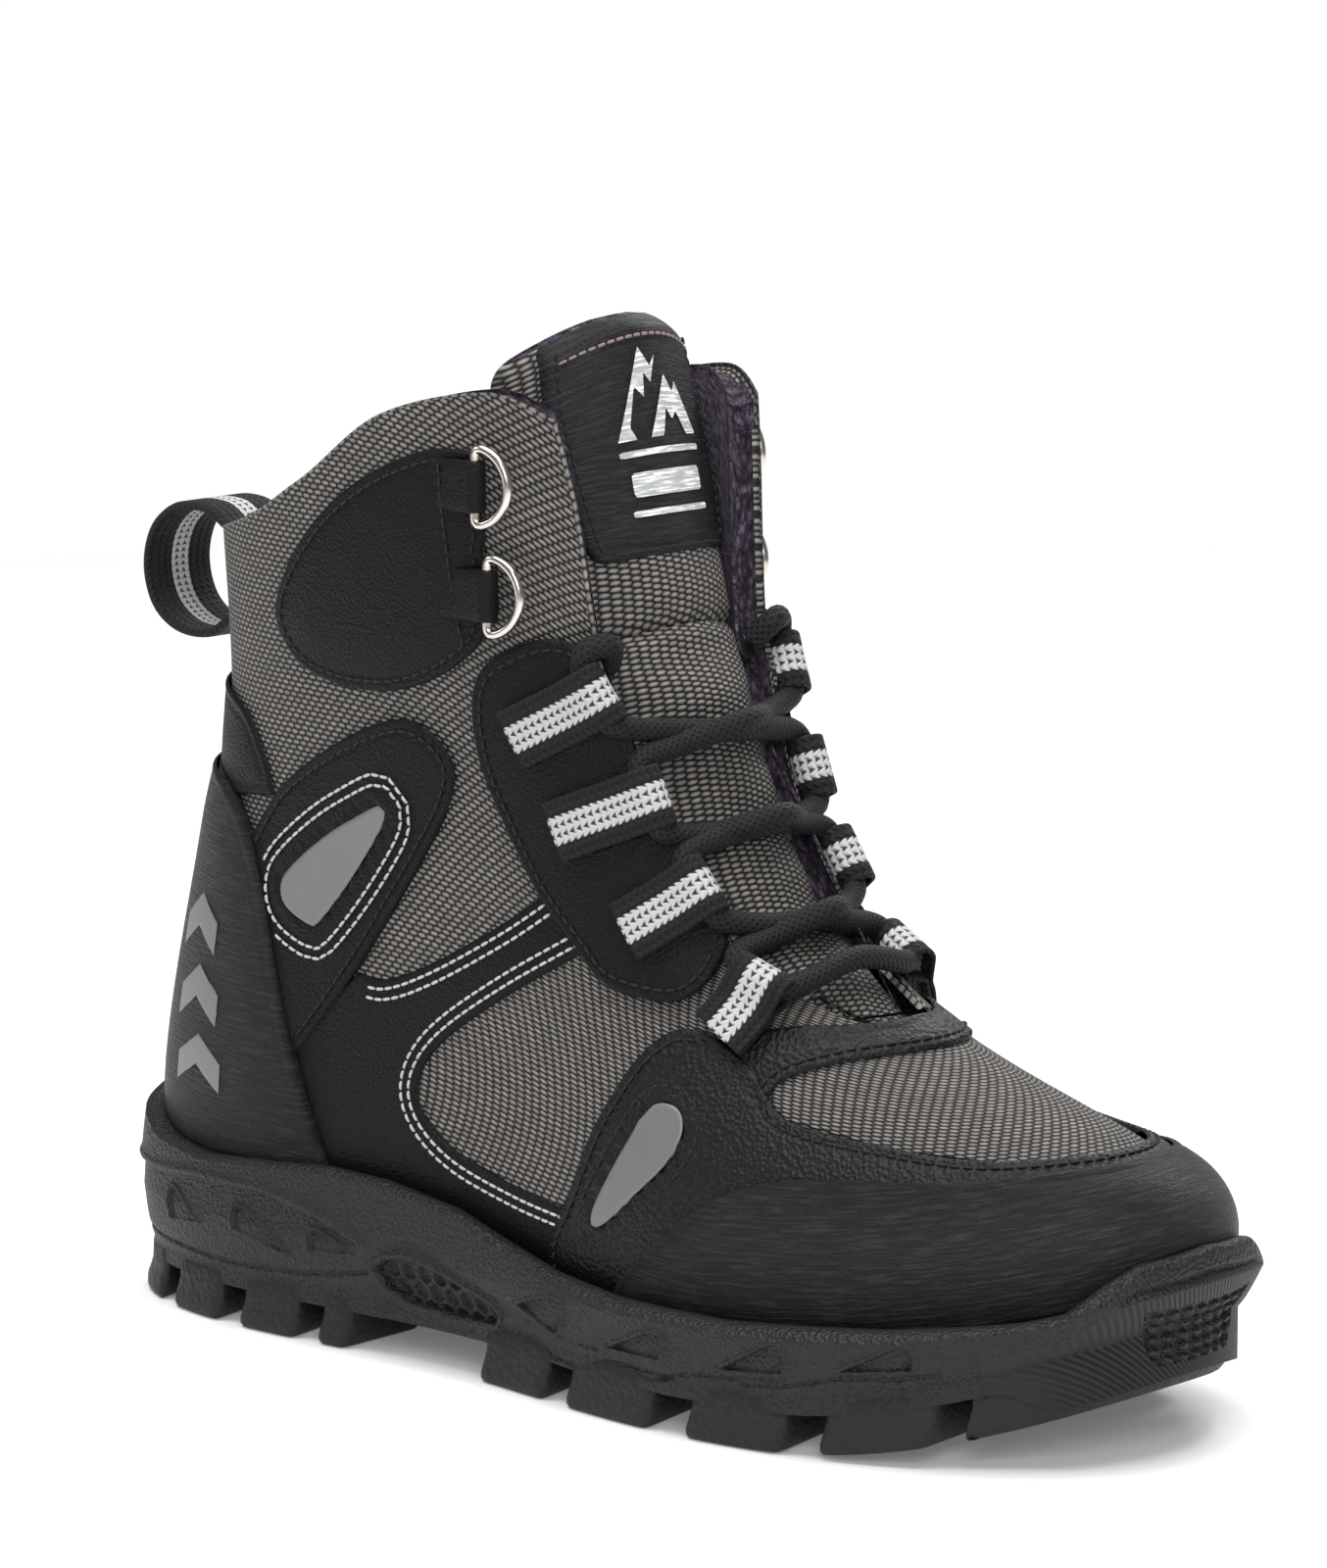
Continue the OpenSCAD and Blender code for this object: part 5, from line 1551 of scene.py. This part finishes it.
def side_relief(u, x, z, lift):
    """Height of the moulded pattern on the side wall; z is measured from the ground and
    lift is the toe's rise there."""
    d = np.zeros(np.shape(x))
    round_heel = from_heel(u)
    along = np.where(round_heel < 0.9, round_heel * 22 - 8, x)
    # Band that overhangs the wall round the heel and down over the arch
    step_z = np.interp(along, *np.array(STEP).T)
    under = clamp((step_z - z) / 0.7) * (x < 95)
    d -= 1.4 * under * smoothstep(97, 86, x) * (0.3 + 0.7 * smoothstep(15, 27, z)) \
        * (0.45 + 0.55 * smoothstep(0.4, 1.8, round_heel))
    d += 0.45 * np.exp(-((z - step_z - 0.9) / 0.9)**2) * (x < 92)
    for line, depth in ((BAND, 0.55), (LUG_LINE, 0.7), *((w, 0.55) for w in WAVES)):
        away = away_from(x, z, curve(line, 40))
        d -= depth * np.exp(-(away / 0.5)**2)
    below = np.interp(x, *np.array(BAND).T) - z
    d -= 0.9 * clamp(below / 0.8) * smoothstep(90, 95, x) * smoothstep(160, 146, x)
    for claws, hook_first in ((HEEL_CLAWS, True), (FORE_CLAWS, False)):
        for claw in claws:
            line = curve(claw, 50)
            away = away_from(x, z, line)
            inside = inside_shape(x, z, line) & (away < 900)
            deep, fade = (0.85, 2.2) if hook_first else (1.35, 4.0)
            d += 0.42 * np.exp(-((away - 0.1) / 0.42)**2)
            d -= deep * inside * clamp((away - 0.3) / 0.5) * np.exp(-away / fade)
    away = away_from(x, z, WINDOW + WINDOW[:1])
    inside = inside_shape(x, z, WINDOW)
    d += 0.8 * np.exp(-((away - 0.9) / 0.8)**2) * ~inside
    # Honeycomb in the arch window
    hx, hz = (x - 93) / 4.6, (z - 12.6) / 7.97
    cell = np.full(np.shape(x), 9.0)
    for ox, oz in ((0, 0), (0.5, 0.5)):
        fx = np.abs(np.mod(hx + ox, 1) - 0.5) * 4.6
        fz = np.abs(np.mod(hz + oz, 1) - 0.5) * 7.97
        cell = np.minimum(cell, np.maximum(fx, fx * 0.5 + fz * 0.866))
    comb = smoothstep(1.5, 1.85, cell)
    d -= inside * clamp(away / 0.5) * (2.2 - 1.0 * comb)
    # Toe: a groove under the rim and the window of small bumps
    top = rim_height(u)
    grooved = smoothstep(7.35, 7.5, round_heel)
    d -= 0.9 * grooved * np.exp(-((z - top + 5.0) / 0.65)**2)
    window = inside_shape(np.mod(u, 16), z, BUMPS)
    d -= 1.1 * window
    bx = np.mod((np.mod(u, 16) - 7.6) / 0.118, 1) - 0.5
    bz = np.mod((z - 17.5) / 2.35, 1) - 0.5
    round_ = np.sqrt(np.maximum(1 - (bx**2 + bz**2) / 0.16, 0))
    d += window * 1.15 * round_
    # Soft scallops over the lugs of the forefoot
    scallop = np.cos((x - 182) / 33 * 2 * math.pi)
    d += 0.5 * scallop * smoothstep(128, 145, x) * smoothstep(250, 235, x) \
        * smoothstep(22, 14, z - lift)
    return d


def side_wall():
    """Side wall of the sole with its moulded pattern, its lip and the plate below."""
    n = 2400
    u = np.arange(n) * 16 / n
    t, w, r = (sole_outline(c, u) for c in (TREAD, WIDEST, RIM))
    x = w[:, 0]
    lift = spring(t[:, 0])
    toe = smoothstep(6.8, 7.15, from_heel(u))
    low, plate = lift + (LUG_H - 0.4) * (1 - 0.82 * toe), lift + PLATE
    mid, top = 24 + 0.7 * spring(w[:, 0]), rim_height(u)
    out = tangents(np.column_stack([w, np.zeros(n)]), closed=True)
    out = np.stack([out[:, 1], -out[:, 0]], 1)
    if np.mean(np.sum(out * (w - w.mean(0)), 1)) < 0:
        out = -out
    skin_in = skin(u, 0.9)[:, :2]
    rows = 92
    points = []
    for k in range(rows):
        f = k / (rows - 1)
        z = low + (top - 1.2 - low) * f
        a = clamp((z - plate) / np.maximum(mid - plate, 1))
        b = clamp((z - mid) / np.maximum(top - mid, 1))
        a, b = a**0.8, b**1.6
        p = t + (w - t) * a[:, None] + (r - w) * b[:, None]
        p = p + (0.2 + side_relief(u, x, z, lift))[:, None] * out
        points.append(np.column_stack([p, z]))
    last = points[-1][:, :2]
    for f, rise in ((0.12, 0.65), (0.3, 1.05), (0.55, 1.1), (0.8, 0.8), (1.1, -0.8)):
        p = last + (skin_in - last) * f
        points.append(np.column_stack([p, top - 1.2 + rise]))
    under = t + (t.mean(0) - t) * 0.03
    points.insert(0, np.column_stack([under, low + 0.2]))
    points = np.array(points)
    m = len(points)
    faces = grid_faces(m, n, wrap=True)
    # Underside of the plate, in bars from one side to the other
    half = n // 2
    faces += [(k, k + 1, n - k - 1, (n - k) % n) for k in range(half)
              if len({k, k + 1, n - k - 1, (n - k) % n}) == 4]
    obj = new_piece("sole_wall", points.reshape(-1, 3), faces, [RUBBER, HATCH_RUBBER])
    z_mid = (points[:-1, :, 2] + points[1:, :, 2]) / 2
    at_toe = (from_heel(u) > 6.75) & (z_mid < rim_height(u) - 6.0)
    at_toe &= ~inside_shape(np.broadcast_to(u, z_mid.shape), z_mid, BUMPS)
    kinds = np.zeros(len(obj.data.polygons), np.int32)
    kinds[:(m - 1) * n] = at_toe.reshape(-1)
    obj.data.polygons.foreach_set("material_index", kinds)
    return obj


wall = side_wall()
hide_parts("midsole", "arch_window_lateral", "arch_window_medial")

GROOVES = [(20, 5), (42.5, 6.5), (66, 6), (141, 6.5), (173.5, 9), (206.5, 8), (237, 5)]
LEAN_ACROSS = math.tan(math.radians(10))


def lug_plans():
    """Outlines of the lugs from below; tread() turns each one anticlockwise."""
    plans = []
    for sign, inner_fore in ((-1, 13.5), (1, 19.5)):
        u = np.linspace(0, 8, 900) if sign < 0 else np.linspace(16, 8, 900)
        line = sole_outline(TREAD, u)
        spans = []
        edges = [(-40, 0)] + [g for g in GROOVES if g[0] < ARCH_BACK]
        for (a, aw), (b, bw) in zip(edges, edges[1:] + [(None, 0)]):
            spans.append((a + aw / 2, None if b is None else b - bw / 2, 13.5))
        edges = [(ARCH_FRONT, 0)] + [g for g in GROOVES if g[0] > ARCH_FRONT]
        for (a, aw), (b, bw) in zip(edges, edges[1:]):
            spans.append((None if a == ARCH_FRONT else a + aw / 2, b - bw / 2, inner_fore))
        for a, b, inner in spans:
            y = np.abs(line[:, 1])
            left = ARCH_FRONT if a is None else a + LEAN_ACROSS * y
            right = ARCH_BACK if b is None else b + LEAN_ACROSS * y
            keep = (line[:, 0] > left) & (line[:, 0] < right) & (y > inner)
            chain = line[keep]
            if len(chain) < 8:
                continue
            xa = ARCH_FRONT if a is None else a + LEAN_ACROSS * inner
            if a is not None and a < 0:
                xa = max(xa, chain[0, 0])
            xb = ARCH_BACK if b is None else b + LEAN_ACROSS * inner
            plans.append(np.vstack([chain, [(xb, sign * inner)], [(xa, sign * inner)]]))
    back = sole_outline(TREAD, np.linspace(-0.45, 0.45, 40))
    plans.append(np.vstack([back[::-1], [(ARCH_BACK, -MIDDLE), (ARCH_BACK, MIDDLE)]]))
    plans.append(np.array([(ARCH_FRONT, -MIDDLE), (244, -MIDDLE), (244, 16.5),
                           (ARCH_FRONT, 16.5)], float))
    toe = sole_outline(TREAD, np.linspace(5.5, 10.5, 700))
    toe = toe[toe[:, 0] > 239.6 + LEAN_ACROSS * np.abs(toe[:, 1])]
    plans.append(np.vstack([toe, [(241, 8), (239.8, 0), (241, -8)]]))
    return plans


def tread():
    """Lugs of the tread."""
    points, faces = [], []
    for plan in lug_plans():
        back = 1.3 if np.min(plan[:, 0]) > 235 else 0.0
        ring = even(plan, 1.3, closed=True)
        area = np.sum(ring[:, 0] * np.roll(ring[:, 1], -1)
                      - np.roll(ring[:, 0], -1) * ring[:, 1])
        if area < 0:
            ring = ring[::-1]
        # Corners are rounded by averaging along the ring
        for _ in range(3):
            ring = 0.5 * ring + 0.25 * (np.roll(ring, 1, 0) + np.roll(ring, -1, 0))
        ahead = tangents(np.column_stack([ring, np.zeros(len(ring))]), closed=True)
        to_middle = np.stack([-ahead[:, 1], ahead[:, 0]], 1)
        n = len(ring)
        base = len(points)
        for inset, z in ((1.6, 0.0), (0.5, 0.3), (-0.2, 1.1), (-0.5, 2.4), (-0.35, 4.6),
                         (-0.15, 7.0), (-0.1, 11.0), (1.6, 13.4)):
            # The lugs rake to the heel as they go down
            p = ring + (inset + back) * to_middle - (2.2 * max(0, 1 - z / 8.5)**1.4, 0)
            lift = spring(p[:, 0]) + (0.55 * np.maximum(9 - p[:, 0], 0)
                                      * max(0, 1 - z / 9))
            points += np.column_stack([p, z + lift]).tolist()
        for r in range(7):
            for k in range(n):
                a, b = base + r * n + k, base + r * n + (k + 1) % n
                faces.append((a, b, b + n, a + n))
        faces.append(tuple(base + k for k in range(n))[::-1])
    return new_piece("tread_lugs", np.array(points), faces, TREAD_RUBBER)


lugs = tread()
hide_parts("outsole")


# ------------------------------------------------------------------ prints

CAP_FACE = TOP_OVERLAY + 1.8


def cap_print(k, u0, v0):
    """One chevron printed on each side of the heel cap, from its upper rear corner."""
    w, d, height = 0.27, 0.24, 0.3
    corners = [(u0 - w, v0), (u0 - w, v0 - height), (u0, v0 + d - height),
               (u0 + w, v0 - height), (u0 + w, v0), (u0, v0 + d)]
    for side, sign in (("lateral", 1), ("medial", -1)):
        places = [(sign * u, v) for u, v in corners]
        runs = [[a, b] for a, b in zip(places, places[1:] + places[:1])]
        made = panel(f"cap_print_{side}_{k}", runs, FILM, CAP_FACE + 0.13, thick=0.6,
                     round_r=0.02, groove=0, start=0, grid=(0.05, 0.05))


for k, (u0, v0) in enumerate(((1.66, 3.05), (1.76, 2.4), (1.84, 1.75))):
    cap_print(k + 1, u0, v0)


PRINT_LIFT = 1.72       # off the tongue's face
PRINT_GRID = 0.9


def label_shape(outline):
    """A flat shape printed on the tongue's label, from (across, height) places."""
    step = PRINT_GRID
    edge = even(np.array(outline, float), step, closed=True)
    lo, hi = edge.min(0), edge.max(0)
    inner = np.stack(np.meshgrid(np.arange(lo[0], hi[0], step),
                                 np.arange(lo[1], hi[1], step)), -1).reshape(-1, 2)
    inner = inner[inside_shape(inner[:, 0], inner[:, 1], edge)]
    inner = inner[nearest(np.column_stack([inner, np.zeros(len(inner))]),
                          np.column_stack([edge, np.zeros(len(edge))])) > 0.5 * step]
    q, faces = triangulated(np.vstack([edge, inner]), len(edge))
    c, face = tongue_line(1200)
    up = c[:, 1] > 160
    c, face = c[up], face[up]
    cols = [np.interp(q[:, 1], c[:, 1], c[:, k]) for k in range(4)]
    tilt = np.stack([np.interp(q[:, 1], c[:, 1], face[:, k]) for k in range(2)], 1)
    rows = np.stack(cols, 1)
    s = (q[:, 0] / rows[:, 2])[:, None]
    points = tongue_place(rows, tilt, s, np.full((len(q), 1), PRINT_LIFT))[:, 0]
    return points, faces, q / 1000


def label_print():
    """Generic print on the label: two peaks, two rules and a plate."""
    def bar(y0, z0, y1, z1, r=0.8):
        """Rectangle with rounded corners."""
        out = []
        for cy, cz, start in ((y1 - r, z1 - r, 0), (y0 + r, z1 - r, 90),
                              (y0 + r, z0 + r, 180), (y1 - r, z0 + r, 270)):
            out += [(cy + r * math.cos(math.radians(start + a)),
                     cz + r * math.sin(math.radians(start + a))) for a in (0, 30, 60, 90)]
        return out

    shapes = {
        "peak_high": [(-12.0, 194.5), (-3.0, 211.0), (-0.4, 207.2), (1.8, 209.4),
                      (-1.0, 204.2), (-2.6, 206.2), (-3.6, 201.8), (-5.8, 204.0),
                      (-8.6, 196.9), (-7.4, 194.5)],
        "peak_low": [(-3.6, 194.5), (3.6, 205.6), (5.6, 202.2), (7.2, 204.2),
                     (12.4, 194.5), (8.2, 194.5), (5.6, 198.8), (3.8, 197.2),
                     (2.4, 199.6), (0.2, 194.5)],
        "ground": bar(-12.4, 191.4, 12.4, 192.6, 0.5),
        "plate": bar(-10.5, 183.6, 10.5, 188.4),
        "rule": bar(-11.5, 179.6, 11.5, 180.9, 0.5)}
    for name, outline in shapes.items():
        points, faces, uv = label_shape(outline)
        made = new_piece(f"label_{name}", points, faces, PRINT, uv, body="tongue_flap")
        normal = made.data.polygons[0].normal
        if normal.x < 0:
            made.data.flip_normals()


label_print()


# ------------------------------------------------------------------ finishes of the hidden parts

FINISHES = {
    "insole_board": speckled_material("fibre_board", (0.30, 0.25, 0.17), (0.42, 0.37, 0.28),
                                      420.0, 0.85, 0.0001),
    "footbed": speckled_material("footbed_foam", (0.02, 0.018, 0.024), (0.06, 0.052, 0.07),
                                 1500.0, 0.92, 0.0002),
    "heel_counter": speckled_material("stiffener", (0.33, 0.29, 0.22), (0.45, 0.41, 0.34),
                                      700.0, 0.8, 0.0001),
    "shank": metal_material("spring_steel", (0.45, 0.46, 0.48), 0.35)}
FINISHES["toe_puff"] = FINISHES["heel_counter"]
for name, finish in FINISHES.items():
    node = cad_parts[name]
    if node.material_slots:
        for holder in node.material_slots:
            holder.material = finish
    else:
        node.data.materials.append(finish)
